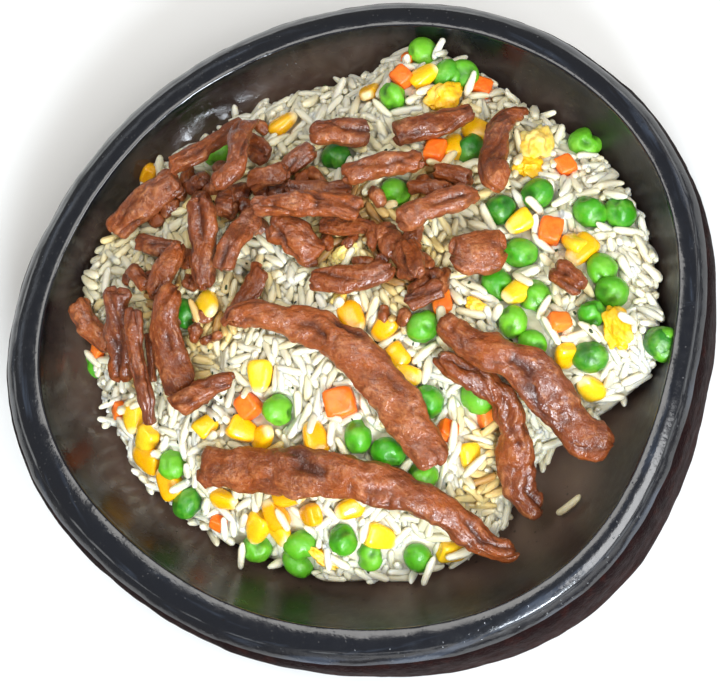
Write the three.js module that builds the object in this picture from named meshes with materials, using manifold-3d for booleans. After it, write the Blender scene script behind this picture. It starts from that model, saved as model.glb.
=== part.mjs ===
// Fried rice in a hand-made stoneware dish, with peas, corn, carrot and egg in the rice
// and browned strips of beef piled on top. Millimetres, +Z up, origin under the middle of the foot.

import * as THREE from 'three';
import { mergeVertices } from 'three/addons/utils/BufferGeometryUtils.js';
import Module from 'manifold-3d';

const wasm = await Module();
wasm.setup();

// Dish: plan outline as a circle with a few low waves, and its profile
const DISH_RADIUS = 100;
const OUTLINE_WAVES = [
  { waves: 2, cosine: 2.6, sine: -0.4 },
  { waves: 3, cosine: -2.0, sine: -0.15 },
  { waves: 4, cosine: -0.2, sine: 0.75 },
  { waves: 5, cosine: -0.35, sine: 0.25 },
  { waves: 6, cosine: 0.1, sine: 0.5 },
];
const DISH_HEIGHT = 38;
const LIP_WIDTH = 10.5;
const LIP_WIDTH_SWING = -2.6;
const LIP_DROP = 9;
const LIP_STEP_IN = 0.8;
const LIP_STEP_DOWN = 1.6;
const FLOOR_HEIGHT = 8;
const BOWL_RUN = 34;
const BOWL_CURVE = 2.3;
const OUTER_WALL = [
  { inset: 9, height: 0 },
  { inset: 5, height: 1.6 },
  { inset: 2.6, height: 6 },
  { inset: 1.0, height: 16 },
  { inset: 0.2, height: 23 },
];
const DISH_SEGMENTS = 60;
const LIP_STEPS = 4;
const BOWL_STEPS = 5;

// Heap of rice: where it meets the dish, and its dome
const HEAP_RADIUS = 77.8;
const HEAP_WAVES = [
  { waves: 1, cosine: 2.7, sine: 4.3 },
  { waves: 2, cosine: 5.8, sine: -0.7 },
];
// Local swells of the heap's edge, and one notch: how far, at what angle and over what spread in degrees
const HEAP_SWELLS = [
  { reach: -19.2, angle: 326, spread: 20 },
  { reach: 7.5, angle: 76, spread: 13 },
  { reach: 6.5, angle: 351, spread: 7 },
  { reach: 3.5, angle: 168, spread: 12 },
  { reach: 3.2, angle: 268, spread: 10 },
];
const HEAP_PEAK = 47;
const HEAP_ROUNDNESS = 0.6;
const HEAP_SKIRT_SLOPE = 1.6;
const HEAP_GRID = 5.1;
const RICE_BUMP = 1.2;
const RICE_BUMP_SIZE = 5;
const LUMP_HEIGHT = 1.4;
const LUMP_SIZE = 17;
const CLEARANCE = 0.45;

// Where the dish is looked at from, which turns a place in the picture into a line of sight
const VIEW = {
  distance: 620,
  elevation: THREE.MathUtils.degToRad(66),
  bearing: THREE.MathUtils.degToRad(-45),
  roll: THREE.MathUtils.degToRad(45),
  target: new THREE.Vector3(1.6, -2.0, 20),
  focal: 2196,
  middleU: 360,
  middleV: 341.5,
};

// Beef strips from the lowest to the topmost: picture places along the middle, widths and thickness in mm
const BEEF_STRIPS = [
  {
    name: 'beef_rim_long',
    path: [[108, 238], [129, 215], [152, 197], [184, 174]],
    widths: [7, 9.6, 9],
    thick: 4.8,
  },
  {
    name: 'beef_rim_top',
    path: [[165, 170], [190, 158], [208, 146], [228, 132], [250, 122]],
    widths: [5.5, 6.4, 6],
    thick: 4.2,
  },
  {
    name: 'beef_flat_left',
    path: [[134, 240], [155, 246], [180, 250]],
    widths: [6, 7, 6],
    thick: 3.8,
  },
  {
    name: 'beef_bit_left',
    path: [[131, 266], [150, 291]],
    widths: [5, 5],
    thick: 3.6,
  },
  {
    name: 'beef_bit_top',
    path: [[245, 138], [270, 162]],
    widths: [6.4, 6],
    thick: 4,
  },
  {
    name: 'beef_bit_middle',
    path: [[211, 205], [240, 203]],
    widths: [7.8, 7.4],
    thick: 4.2,
  },
  {
    name: 'beef_bit_fork',
    path: [[401, 305], [425, 296], [448, 284]],
    widths: [6.5, 7.5, 6],
    thick: 4,
  },
  {
    name: 'beef_pink_left',
    path: [[75, 300], [86, 320], [98, 340], [112, 352]],
    widths: [6.4, 6.4, 5],
    thick: 4,
  },
  {
    name: 'beef_sliver_left',
    path: [[148, 330], [152, 360], [155, 385]],
    widths: [3, 3.2, 3],
    thick: 3.2,
  },
  {
    name: 'beef_under_left',
    path: [[185, 240], [167, 262], [160, 285], [152, 302]],
    widths: [6.6, 7, 5.6],
    thick: 4.2,
  },
  {
    name: 'beef_back_bit',
    path: [[320, 149], [297, 158], [283, 176]],
    widths: [6.4, 7, 5.6],
    thick: 4.2,
  },
  {
    name: 'beef_back_left',
    path: [[248, 186], [272, 176], [292, 168]],
    widths: [6.4, 7, 5.4],
    thick: 4.2,
  },
  {
    name: 'beef_back_middle',
    path: [[281, 184], [310, 188], [335, 186], [356, 189]],
    widths: [5.4, 6.4, 5],
    thick: 4,
  },
  {
    name: 'beef_back_right',
    path: [[429, 172], [450, 171], [474, 181]],
    widths: [5.8, 6.6, 5],
    thick: 4,
  },
  {
    name: 'beef_back_low',
    path: [[406, 191], [428, 184], [452, 193]],
    widths: [4.6, 5.2, 4.6],
    thick: 3.6,
  },
  {
    name: 'beef_loop',
    path: [[317, 224], [345, 228], [368, 223], [378, 238], [366, 252]],
    widths: [5, 5.2, 4.6],
    thick: 4,
  },
  {
    name: 'beef_big_left',
    path: [[117, 282], [118, 320], [121, 350], [121, 388]],
    widths: [8.4, 8.6, 7.6],
    thick: 5,
  },
  {
    name: 'beef_thin_left',
    path: [[143, 300], [138, 335], [138, 365], [146, 395], [154, 428]],
    widths: [4.4, 5.2, 4.4],
    thick: 4,
  },
  {
    name: 'beef_brown_left',
    path: [[187, 286], [168, 308], [166, 340], [174, 370], [182, 403]],
    widths: [6.6, 9.6, 11, 11],
    thick: 5,
  },
  {
    name: 'beef_fork_left',
    path: [[240, 380], [217, 380], [196, 397], [174, 420]],
    widths: [5.4, 7, 6],
    thick: 4.5,
  },
  {
    name: 'beef_twist_top',
    path: [[258, 122], [239, 143], [240, 165], [226, 179], [207, 186]],
    widths: [6.4, 7.2, 6.6],
    thick: 4.6,
  },
  {
    name: 'beef_dark_upright',
    path: [[199, 194], [202, 225], [201, 248], [199, 270], [209, 293]],
    widths: [8, 9.2, 8.6, 6.4],
    thick: 5.2,
  },
  {
    name: 'beef_light_upright',
    path: [[262, 208], [240, 225], [226, 250], [221, 276]],
    widths: [7, 8.2, 6.6],
    thick: 4.6,
  },
  {
    name: 'beef_low_upright',
    path: [[263, 260], [245, 280], [229, 305], [221, 330]],
    widths: [6.2, 6.2, 6],
    thick: 4.6,
  },
  {
    name: 'beef_folded_middle',
    path: [[266, 228], [290, 232], [308, 249], [323, 264]],
    widths: [10, 10.6, 7.6],
    thick: 5,
  },
  {
    name: 'beef_hook_middle',
    path: [[307, 284], [340, 280], [375, 276], [396, 262]],
    widths: [7, 7.4, 6.4],
    thick: 4.6,
  },
  {
    name: 'beef_prong_middle',
    path: [[402, 238], [409, 250], [413, 264], [420, 281]],
    widths: [7, 7, 5.6],
    thick: 4.5,
  },
  {
    name: 'beef_fork_middle',
    path: [[480, 195], [445, 203], [415, 213], [393, 225]],
    widths: [6.4, 8.6, 9.4],
    thick: 4.8,
  },
  {
    name: 'beef_chunk_right',
    path: [[436, 250], [470, 246], [513, 247]],
    widths: [11.4, 12.6, 11],
    thick: 6,
  },
  {
    name: 'beef_long_middle',
    path: [[252, 212], [285, 204], [325, 204], [367, 209]],
    widths: [6, 7.4, 7.6, 6.4],
    thick: 5,
  },
  {
    name: 'beef_top_left',
    path: [[305, 134], [340, 131], [374, 132]],
    widths: [7.6, 8.6, 7.4],
    thick: 5,
  },
  {
    name: 'beef_top_middle',
    path: [[388, 138], [420, 128], [450, 119], [479, 111]],
    widths: [8.4, 8.6, 7, 4.4],
    thick: 5,
  },
  {
    name: 'beef_top_lower',
    path: [[338, 178], [365, 169], [395, 162], [428, 160]],
    widths: [6, 7.8, 8, 7],
    thick: 5,
  },
  {
    name: 'beef_hook_right',
    path: [[530, 118], [510, 111], [498, 127], [496, 150], [490, 168], [508, 188]],
    widths: [6.4, 6.8, 10.4],
    thick: 5,
  },
  {
    name: 'beef_nub_right',
    path: [[550, 264], [567, 277], [585, 294]],
    widths: [8.5, 9.8, 8],
    thick: 6,
  },
  {
    name: 'beef_lower_right',
    path: [
      [431, 353], [455, 368], [480, 382], [503, 395],
      [512, 430], [516, 468], [524, 500], [548, 511],
    ],
    widths: [6.4, 9, 10.4],
    thick: 5,
  },
  {
    name: 'beef_far_right',
    path: [
      [440, 314], [455, 335], [485, 350], [520, 365],
      [545, 388], [563, 415], [588, 440], [618, 447],
    ],
    widths: [7, 10.8, 13.4, 8.4],
    thick: 5.5,
  },
  {
    name: 'beef_long_front',
    path: [
      [193, 468], [215, 467], [260, 471], [310, 471], [360, 480],
      [400, 491], [440, 508], [468, 532], [495, 550], [524, 552],
    ],
    widths: [12, 13.2, 11.6, 9.8, 6.4],
    thick: 6,
  },
  {
    name: 'beef_diagonal',
    path: [
      [222, 324], [245, 312], [275, 318], [310, 326], [345, 345],
      [372, 370], [395, 400], [418, 435], [440, 470],
    ],
    widths: [7.4, 9.4, 11, 11.6, 10.4],
    thick: 5.5,
  },
];
const STRIP_SIDES = 8;
const STRIP_STEP = 6.5;
const STRIP_FLATNESS = 0.75;
const STRIP_CORNER = Math.cos(Math.PI / STRIP_SIDES) ** STRIP_FLATNESS;
const STRIP_UNEVEN = 0.07;
const STRIP_BEND = 0.35;
const STRIP_LIFT_STEP = 0.4;
const END_ROUNDING = [
  { along: 0.3, scale: 0.6 },
  { along: 1.0, scale: 0.92 },
];
const GROUND_CELL = 0.75;
const GROUND_REACH = 108;

// Pieces that show in the rice, by their place in the picture
const PEA_RADIUS = 4.8;
const PEA_PLACES = [
  [424, 52], [393, 97], [455, 77], [337, 157], [217, 152], [470, 150], [500, 210], [590, 212], [495, 278],
  [603, 270], [612, 292], [535, 297], [513, 322], [533, 343], [592, 315], [590, 357], [660, 342], [422, 325],
  [428, 402], [97, 367], [278, 410], [358, 437], [188, 503], [257, 548], [300, 545], [343, 540], [370, 556],
  [418, 558], [388, 453],
];
const CORN_SIZE = new THREE.Vector3(4.3, 3.8, 2.9);
const CORN_PLACES = [
  [424, 76], [369, 93], [149, 173], [453, 147], [520, 222], [575, 243], [565, 357], [590, 388], [208, 305],
  [260, 376], [207, 425], [243, 430], [134, 418], [147, 450], [170, 483], [225, 500], [275, 520], [310, 515],
  [315, 438], [397, 367], [384, 328], [452, 552], [470, 457],
];
const CARROT_SIZE = 8.4;
const CARROT_PLACES = [
  [403, 78], [480, 87], [436, 153], [565, 165], [549, 235], [440, 300], [560, 322], [248, 405], [340, 403], [119, 410],
  [218, 523], [487, 418], [447, 430],
];
const EGG_SIZE = new THREE.Vector3(7, 4.6, 3);
const EGG_PLACES = [[445, 95], [535, 145], [528, 167], [617, 328], [343, 255], [475, 305], [323, 558]];
const GRAIN_SIZE = new THREE.Vector3(4.5, 1.4, 1.4);
const EDGE_GRAIN_PLACES = [
  [320, 582], [182, 525], [392, 70], [447, 52], [505, 87], [545, 108], [575, 118], [612, 160], [640, 228],
  [657, 280], [390, 565], [107, 403],
];
const PIECE_LIFT = 1.0;
const GRAIN_LIFT = 0.6;
const SINK_STEPS = 3;
const SINK_DEPTH = 1.1;
const LOOSE_GRAIN_PLACE = [573, 509];
const LOOSE_GRAIN_END = [590, 503];
const LOOSE_GRAIN_SIZE = new THREE.Vector3(4.4, 1.5, 1.5);

// Repeatable random numbers
function seededRandom(seed) {
  let state = seed >>> 0;
  return () => {
    state = (state + 0x6d2b79f5) >>> 0;
    let mixed = Math.imul(state ^ (state >>> 15), 1 | state);
    mixed = (mixed + Math.imul(mixed ^ (mixed >>> 7), 61 | mixed)) ^ mixed;
    return ((mixed ^ (mixed >>> 14)) >>> 0) / 4294967296;
  };
}

function latticeValue(i, j, seed) {
  return seededRandom(i * 7349 + j * 9151 + seed * 131)() * 2 - 1;
}

function smoothNoise(x, y, size, seed) {
  const column = Math.floor(x / size);
  const row = Math.floor(y / size);
  const across = THREE.MathUtils.smoothstep(x / size - column, 0, 1);
  const along = THREE.MathUtils.smoothstep(y / size - row, 0, 1);
  const near = THREE.MathUtils.lerp(latticeValue(column, row, seed), latticeValue(column + 1, row, seed), across);
  const far = THREE.MathUtils.lerp(
    latticeValue(column, row + 1, seed),
    latticeValue(column + 1, row + 1, seed),
    across,
  );
  return THREE.MathUtils.lerp(near, far, along);
}

// Shape of the dish
function waveSum(angle, waves) {
  let sum = 0;
  for (const wave of waves) {
    sum += wave.cosine * Math.cos(wave.waves * angle) + wave.sine * Math.sin(wave.waves * angle);
  }
  return sum;
}

function outlineRadius(angle) {
  return DISH_RADIUS + waveSum(angle, OUTLINE_WAVES);
}

function lipWidth(angle) {
  return LIP_WIDTH + LIP_WIDTH_SWING * Math.cos(angle);
}

function outlineMiddle() {
  const box = new THREE.Box2();
  for (let step = 0; step < DISH_SEGMENTS; step += 1) {
    const angle = (step / DISH_SEGMENTS) * Math.PI * 2;
    const radius = outlineRadius(angle);
    box.expandByPoint(new THREE.Vector2(radius * Math.cos(angle), radius * Math.sin(angle)));
  }
  return box.getCenter(new THREE.Vector2());
}

const OUTLINE_MIDDLE = outlineMiddle();

function planPoint(angle, radius, height) {
  const x = radius * Math.cos(angle) - OUTLINE_MIDDLE.x;
  const y = radius * Math.sin(angle) - OUTLINE_MIDDLE.y;
  return new THREE.Vector3(x, y, height);
}

function planPolar(x, y) {
  const px = x + OUTLINE_MIDDLE.x;
  const py = y + OUTLINE_MIDDLE.y;
  return { angle: Math.atan2(py, px), radius: Math.hypot(px, py) };
}

function bowlHeight(run) {
  const rest = THREE.MathUtils.clamp(1 - run / BOWL_RUN, 0, 1);
  return FLOOR_HEIGHT + (DISH_HEIGHT - LIP_STEP_DOWN - FLOOR_HEIGHT) * rest ** BOWL_CURVE;
}

function bowlRun(angle, radius) {
  return outlineRadius(angle) - radius - lipWidth(angle) - LIP_STEP_IN;
}

// Closed surface through rings of points; a ring of one point closes an end
function loftRings(rings) {
  const positions = [];
  const starts = [];
  for (const ring of rings) {
    starts.push(positions.length / 3);
    for (const point of ring) {
      positions.push(point.x, point.y, point.z);
    }
  }
  const index = [];
  for (let k = 0; k + 1 < rings.length; k += 1) {
    const lower = rings[k].length;
    const upper = rings[k + 1].length;
    const sides = Math.max(lower, upper);
    for (let i = 0; i < sides; i += 1) {
      const j = (i + 1) % sides;
      if (lower > 1) {
        index.push(starts[k] + i, starts[k] + j, starts[k + 1] + (upper > 1 ? j : 0));
      }
      if (upper > 1) {
        index.push(starts[k] + (lower > 1 ? i : 0), starts[k + 1] + j, starts[k + 1] + i);
      }
    }
  }
  const geometry = new THREE.BufferGeometry();
  geometry.setAttribute('position', new THREE.Float32BufferAttribute(positions, 3));
  geometry.setIndex(index);
  return facingOut(geometry);
}

function signedVolume(geometry) {
  const position = geometry.attributes.position;
  const index = geometry.index;
  const corners = [new THREE.Vector3(), new THREE.Vector3(), new THREE.Vector3()];
  let sum = 0;
  for (let face = 0; face < index.count; face += 3) {
    for (let corner = 0; corner < 3; corner += 1) {
      corners[corner].fromBufferAttribute(position, index.getX(face + corner));
    }
    sum += corners[0].dot(corners[1].clone().cross(corners[2])) / 6;
  }
  return sum;
}

function facingOut(geometry) {
  if (signedVolume(geometry) < 0) {
    const index = geometry.index;
    for (let face = 0; face < index.count; face += 3) {
      const second = index.getX(face + 1);
      index.setX(face + 1, index.getX(face + 2));
      index.setX(face + 2, second);
    }
  }
  return geometry;
}

function ringAt(segments, radiusAt, heightAt) {
  const ring = [];
  for (let step = 0; step < segments; step += 1) {
    const angle = (step / segments) * Math.PI * 2;
    ring.push(planPoint(angle, radiusAt(angle), heightAt(angle)));
  }
  return ring;
}

function bowlRings(segments, inward, upward) {
  const rings = [];
  for (let step = 0; step <= BOWL_STEPS; step += 1) {
    const run = (step / BOWL_STEPS) * BOWL_RUN;
    const radiusAt = (angle) => outlineRadius(angle) - lipWidth(angle) - LIP_STEP_IN - run - inward;
    rings.push(ringAt(segments, radiusAt, () => bowlHeight(run) + upward));
  }
  const floorRadius = (angle) => (outlineRadius(angle) - lipWidth(angle) - BOWL_RUN) * 0.5;
  rings.push(ringAt(segments, floorRadius, () => FLOOR_HEIGHT + upward));
  rings.push([planPoint(0, 0, FLOOR_HEIGHT + upward)]);
  return rings;
}

function dishGeometry() {
  const rings = [[planPoint(0, 0, 0)]];
  for (const station of OUTER_WALL) {
    rings.push(ringAt(DISH_SEGMENTS, (angle) => outlineRadius(angle) - station.inset, () => station.height));
  }
  for (let step = 0; step <= LIP_STEPS; step += 1) {
    const turn = (step / LIP_STEPS) * (Math.PI / 2);
    const radiusAt = (angle) => outlineRadius(angle) - lipWidth(angle) * (1 - Math.cos(turn));
    rings.push(ringAt(DISH_SEGMENTS, radiusAt, () => DISH_HEIGHT - LIP_DROP * (1 - Math.sin(turn))));
  }
  rings.push(...bowlRings(DISH_SEGMENTS, 0, 0));
  return loftRings(rings);
}

// The room inside the dish, clear of its walls, up past the top of the food
function bowlRoomGeometry() {
  const segments = DISH_SEGMENTS / 2;
  const rings = bowlRings(segments, CLEARANCE, CLEARANCE);
  const rim = (angle) => outlineRadius(angle) - lipWidth(angle) - LIP_STEP_IN - CLEARANCE;
  rings.unshift(ringAt(segments, rim, () => HEAP_PEAK * 2));
  rings.unshift([planPoint(0, 0, HEAP_PEAK * 2)]);
  return loftRings(rings);
}

// Shape of the heap
function heapRadius(angle) {
  let radius = HEAP_RADIUS + waveSum(angle, HEAP_WAVES);
  for (const swell of HEAP_SWELLS) {
    const turn = angle - THREE.MathUtils.degToRad(swell.angle);
    const away = THREE.MathUtils.radToDeg(Math.atan2(Math.sin(turn), Math.cos(turn)));
    radius += swell.reach * Math.exp(-((away / swell.spread) ** 2));
  }
  return radius;
}

function heapHeight(x, y) {
  const { angle, radius } = planPolar(x, y);
  const edge = heapRadius(angle);
  const foot = bowlHeight(bowlRun(angle, edge));
  const part = radius / edge;
  if (part >= 1) {
    return foot - (radius - edge) * HEAP_SKIRT_SLOPE;
  }
  const dome = foot + (HEAP_PEAK - foot) * (1 - part * part) ** HEAP_ROUNDNESS;
  return dome + LUMP_HEIGHT * smoothNoise(x, y, LUMP_SIZE, 5) * Math.min(1, (1 - part) * 4);
}

function bumpedHeapHeight(x, y) {
  return heapHeight(x, y) + RICE_BUMP * smoothNoise(x, y, RICE_BUMP_SIZE, 11);
}

function heapBlockGeometry() {
  const random = seededRandom(31);
  const count = 2 * Math.ceil(DISH_RADIUS / HEAP_GRID) + 1;
  const top = [];
  const bottom = [];
  for (let row = 0; row < count; row += 1) {
    for (let column = 0; column < count; column += 1) {
      const inside = row > 0 && column > 0 && row < count - 1 && column < count - 1;
      const wander = inside ? 0.28 * HEAP_GRID : 0;
      const x = (column - (count - 1) / 2) * HEAP_GRID + (random() * 2 - 1) * wander;
      const y = (row - (count - 1) / 2) * HEAP_GRID + (random() * 2 - 1) * wander;
      top.push(new THREE.Vector3(x, y, Math.max(bumpedHeapHeight(x, y), 1)));
      bottom.push(new THREE.Vector3(x, y, 0));
    }
  }
  const positions = [...top, ...bottom].flatMap((point) => [point.x, point.y, point.z]);
  const index = [];
  const below = top.length;
  for (let row = 0; row + 1 < count; row += 1) {
    for (let column = 0; column + 1 < count; column += 1) {
      const a = row * count + column;
      const b = a + 1;
      const c = a + count;
      const d = c + 1;
      index.push(a, b, d, a, d, c);
      index.push(below + a, below + d, below + b, below + a, below + c, below + d);
    }
  }
  for (let step = 0; step + 1 < count; step += 1) {
    const south = step;
    const north = (count - 1) * count + step;
    const west = step * count;
    const east = step * count + count - 1;
    index.push(south + 1, south, below + south, south + 1, below + south, below + south + 1);
    index.push(north, north + 1, below + north + 1, north, below + north + 1, below + north);
    index.push(west, west + count, below + west + count, west, below + west + count, below + west);
    index.push(east + count, east, below + east, east + count, below + east, below + east + count);
  }
  const geometry = new THREE.BufferGeometry();
  geometry.setAttribute('position', new THREE.Float32BufferAttribute(positions, 3));
  geometry.setIndex(index);
  return facingOut(geometry);
}

// Solids for joining and cutting
function solidFrom(geometry) {
  const bare = geometry.clone();
  bare.deleteAttribute('normal');
  bare.deleteAttribute('uv');
  const merged = mergeVertices(bare, 1e-4);
  const mesh = new wasm.Mesh({
    numProp: 3,
    vertProperties: new Float32Array(merged.attributes.position.array),
    triVerts: new Uint32Array(merged.index.array),
  });
  mesh.merge();
  return new wasm.Manifold(mesh);
}

function geometryFrom(solid) {
  const mesh = solid.getMesh();
  const geometry = new THREE.BufferGeometry();
  geometry.setAttribute('position', new THREE.Float32BufferAttribute(mesh.vertProperties, 3));
  geometry.setIndex(Array.from(mesh.triVerts));
  return geometry;
}

function largestBody(solid) {
  const bodies = solid.decompose();
  return bodies.reduce((best, body) => (body.volume() > best.volume() ? body : best));
}

// Sight lines: from a place in the picture to a point at a height, or to where the heap is met
function sightLine(u, v) {
  const flat = Math.cos(VIEW.elevation);
  const back = new THREE.Vector3(
    flat * Math.cos(VIEW.bearing),
    flat * Math.sin(VIEW.bearing),
    Math.sin(VIEW.elevation),
  );
  const level = new THREE.Vector3(-Math.sin(VIEW.bearing), Math.cos(VIEW.bearing), 0);
  const upright = new THREE.Vector3().crossVectors(back, level);
  const right = level.clone().multiplyScalar(Math.cos(VIEW.roll)).addScaledVector(upright, -Math.sin(VIEW.roll));
  const up = level.clone().multiplyScalar(Math.sin(VIEW.roll)).addScaledVector(upright, Math.cos(VIEW.roll));
  const start = VIEW.target.clone().addScaledVector(back, VIEW.distance);
  const direction = back.clone().negate();
  direction.addScaledVector(right, (u - VIEW.middleU) / VIEW.focal);
  direction.addScaledVector(up, -(v - VIEW.middleV) / VIEW.focal);
  return { start, direction };
}

function onSightLine(place, height) {
  const { start, direction } = sightLine(place[0], place[1]);
  return start.clone().addScaledVector(direction, (height - start.z) / direction.z);
}

function onHeap(place, lift) {
  let height = HEAP_PEAK + 10;
  let point = onSightLine(place, height);
  while (height > FLOOR_HEIGHT && point.z > heapHeight(point.x, point.y) + lift) {
    height -= 0.2;
    point = onSightLine(place, height);
  }
  return point;
}

function heapNormal(x, y) {
  const reach = 3;
  const slopeX = (heapHeight(x + reach, y) - heapHeight(x - reach, y)) / (2 * reach);
  const slopeY = (heapHeight(x, y + reach) - heapHeight(x, y - reach)) / (2 * reach);
  return new THREE.Vector3(-slopeX, -slopeY, 1).normalize();
}

// Height of what already lies there, kept in square cells
class Ground {
  constructor() {
    this.count = Math.ceil((2 * GROUND_REACH) / GROUND_CELL);
    this.heights = new Float32Array(this.count * this.count);
  }

  cell(value) {
    return THREE.MathUtils.clamp(Math.floor((value + GROUND_REACH) / GROUND_CELL), 1, this.count - 2);
  }

  heightAt(x, y) {
    let highest = 0;
    for (let row = this.cell(y) - 1; row <= this.cell(y) + 1; row += 1) {
      for (let column = this.cell(x) - 1; column <= this.cell(x) + 1; column += 1) {
        highest = Math.max(highest, this.heights[row * this.count + column]);
      }
    }
    return highest;
  }

  add(geometry) {
    const triangle = new THREE.Triangle();
    const position = geometry.attributes.position;
    const index = geometry.index;
    const weights = new THREE.Vector3();
    for (let face = 0; face < index.count; face += 3) {
      triangle.a.fromBufferAttribute(position, index.getX(face));
      triangle.b.fromBufferAttribute(position, index.getX(face + 1));
      triangle.c.fromBufferAttribute(position, index.getX(face + 2));
      const tops = [triangle.a.z, triangle.b.z, triangle.c.z];
      const box = new THREE.Box3().setFromPoints([triangle.a, triangle.b, triangle.c]);
      triangle.a.z = 0;
      triangle.b.z = 0;
      triangle.c.z = 0;
      for (let row = this.cell(box.min.y); row <= this.cell(box.max.y); row += 1) {
        for (let column = this.cell(box.min.x); column <= this.cell(box.max.x); column += 1) {
          const x = (column + 0.5) * GROUND_CELL - GROUND_REACH;
          const y = (row + 0.5) * GROUND_CELL - GROUND_REACH;
          const found = triangle.getBarycoord(new THREE.Vector3(x, y, 0), weights);
          if (found && Math.min(weights.x, weights.y, weights.z) >= -0.02) {
            const height = weights.x * tops[0] + weights.y * tops[1] + weights.z * tops[2];
            const at = row * this.count + column;
            this.heights[at] = Math.max(this.heights[at], height);
          }
        }
      }
    }
  }
}

// Beef strips: a flat rounded section along a path that is laid over the ground
function spreadValue(values, part) {
  const place = part * (values.length - 1);
  const first = Math.min(Math.floor(place), values.length - 2);
  return THREE.MathUtils.lerp(values[first], values[first + 1], place - first);
}

function stripStations(strip, heights, random) {
  const points = strip.path.map((place, i) => onSightLine(place, heights[i]));
  const curve = new THREE.CatmullRomCurve3(points, false, 'centripetal');
  const length = curve.getLength();
  const radius = strip.widths[0] / 2;
  const distances = [0];
  for (const round of END_ROUNDING) {
    distances.push(round.along * radius);
  }
  const inner = Math.max(1, Math.round((length - 2 * radius) / STRIP_STEP));
  for (let step = 1; step < inner; step += 1) {
    distances.push(radius + ((length - 2 * radius) * step) / inner);
  }
  for (const round of [...END_ROUNDING].reverse()) {
    distances.push(length - round.along * radius);
  }
  distances.push(length);
  const last = distances.length - 1;
  return distances.map((distance, i) => {
    const part = distance / length;
    const point = curve.getPointAt(THREE.MathUtils.clamp(part, 0, 1));
    const ahead = curve.getTangentAt(THREE.MathUtils.clamp(part, 0, 1));
    const side = new THREE.Vector3(-ahead.y, ahead.x, 0).normalize();
    const fromEnd = Math.min(i, last - i);
    const scale = fromEnd === 0 ? 0 : (END_ROUNDING[fromEnd - 1] ?? { scale: 1 }).scale;
    const uneven = 1 + (random() * 2 - 1) * STRIP_UNEVEN;
    return {
      point,
      side,
      scale,
      halfWidth: (spreadValue(strip.widths, part) / 2) * uneven,
      halfThick: (strip.thick / 2) * (1 - (random() * 0.5) * STRIP_UNEVEN),
      along: distance,
    };
  });
}

function restingHeights(stations, ground) {
  const needed = stations.map((station, k) => {
    const before = stations[Math.max(k - 1, 0)].point;
    const after = stations[Math.min(k + 1, stations.length - 1)].point;
    let highest = 0;
    for (const [from, to] of [[before, station.point], [station.point, after]]) {
      for (let part = 0; part <= 1; part += 0.25) {
        const middle = from.clone().lerp(to, part);
        for (let offset = -1.1; offset <= 1.1; offset += 0.1) {
          const reach = station.halfWidth * offset;
          const inner = Math.min(Math.abs(offset), 1);
          const belly = station.halfThick * (1 - inner ** 2.6) ** (1 / 2.6);
          const under = ground.heightAt(middle.x + station.side.x * reach, middle.y + station.side.y * reach);
          highest = Math.max(highest, under + belly);
        }
      }
    }
    return highest + CLEARANCE;
  });
  const heights = [...needed];
  for (let pass = 0; pass < 30; pass += 1) {
    for (let k = 1; k + 1 < heights.length; k += 1) {
      heights[k] = Math.max(needed[k], (heights[k - 1] + heights[k + 1]) / 2 - STRIP_BEND);
    }
  }
  return heights;
}

function stripGeometry(stations, lift, grow) {
  const rings = stations.map((station, k) => {
    const ahead = stations[Math.min(k + 1, stations.length - 1)].point.clone()
      .sub(stations[Math.max(k - 1, 0)].point)
      .normalize();
    const centre = station.point.clone().add(new THREE.Vector3(0, 0, lift));
    if (station.scale === 0) {
      const outward = k === 0 ? -grow : grow;
      return [centre.addScaledVector(ahead, outward)];
    }
    const upright = new THREE.Vector3().crossVectors(ahead, station.side).normalize();
    const halfWidth = (station.halfWidth * station.scale) / STRIP_CORNER + grow;
    const halfThick = (station.halfThick * station.scale) / STRIP_CORNER + grow;
    const ring = [];
    for (let side = 0; side < STRIP_SIDES; side += 1) {
      const turn = ((side + 0.5) / STRIP_SIDES) * Math.PI * 2;
      const across = Math.sign(Math.cos(turn)) * Math.abs(Math.cos(turn)) ** STRIP_FLATNESS;
      const raised = Math.sign(Math.sin(turn)) * Math.abs(Math.sin(turn)) ** STRIP_FLATNESS;
      ring.push(centre.clone()
        .addScaledVector(station.side, across * halfWidth)
        .addScaledVector(upright, raised * halfThick));
    }
    return ring;
  });
  return loftRings(rings);
}

function layStrip(strip, ground, laid, seed) {
  let heights = strip.path.map((place) => onHeap(place, strip.thick).z);
  let stations = [];
  for (let pass = 0; pass < 4; pass += 1) {
    stations = stripStations(strip, heights, seededRandom(seed));
    const resting = restingHeights(stations, ground);
    stations.forEach((station, k) => {
      station.point.z = resting[k];
    });
    heights = heights.map((_, i) => {
      const flat = onSightLine(strip.path[i], heights[i]);
      const nearest = stations.reduce((best, station) => {
        const gap = Math.hypot(station.point.x - flat.x, station.point.y - flat.y);
        return gap < best.gap ? { gap, height: station.point.z } : best;
      }, { gap: Infinity, height: 0 });
      return nearest.height;
    });
  }
  let lift = 0;
  let grown = solidFrom(stripGeometry(stations, lift, CLEARANCE * 0.8));
  while (!grown.intersect(laid).isEmpty() && lift < 12) {
    lift += STRIP_LIFT_STEP;
    grown = solidFrom(stripGeometry(stations, lift, CLEARANCE * 0.8));
  }
  return { geometry: stripGeometry(stations, lift, 0), grown };
}

// Pieces in the rice
function roundPiece(size, across, rows, random, uneven) {
  const geometry = new THREE.SphereGeometry(1, across, rows);
  geometry.deleteAttribute('normal');
  geometry.deleteAttribute('uv');
  const merged = mergeVertices(geometry, 1e-3);
  const position = merged.attributes.position;
  for (let i = 0; i < position.count; i += 1) {
    const factor = 1 + (random() * 2 - 1) * uneven;
    position.setXYZ(
      i,
      position.getX(i) * size.x * factor,
      position.getY(i) * size.z * factor,
      position.getZ(i) * size.y * factor,
    );
  }
  return merged;
}

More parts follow.
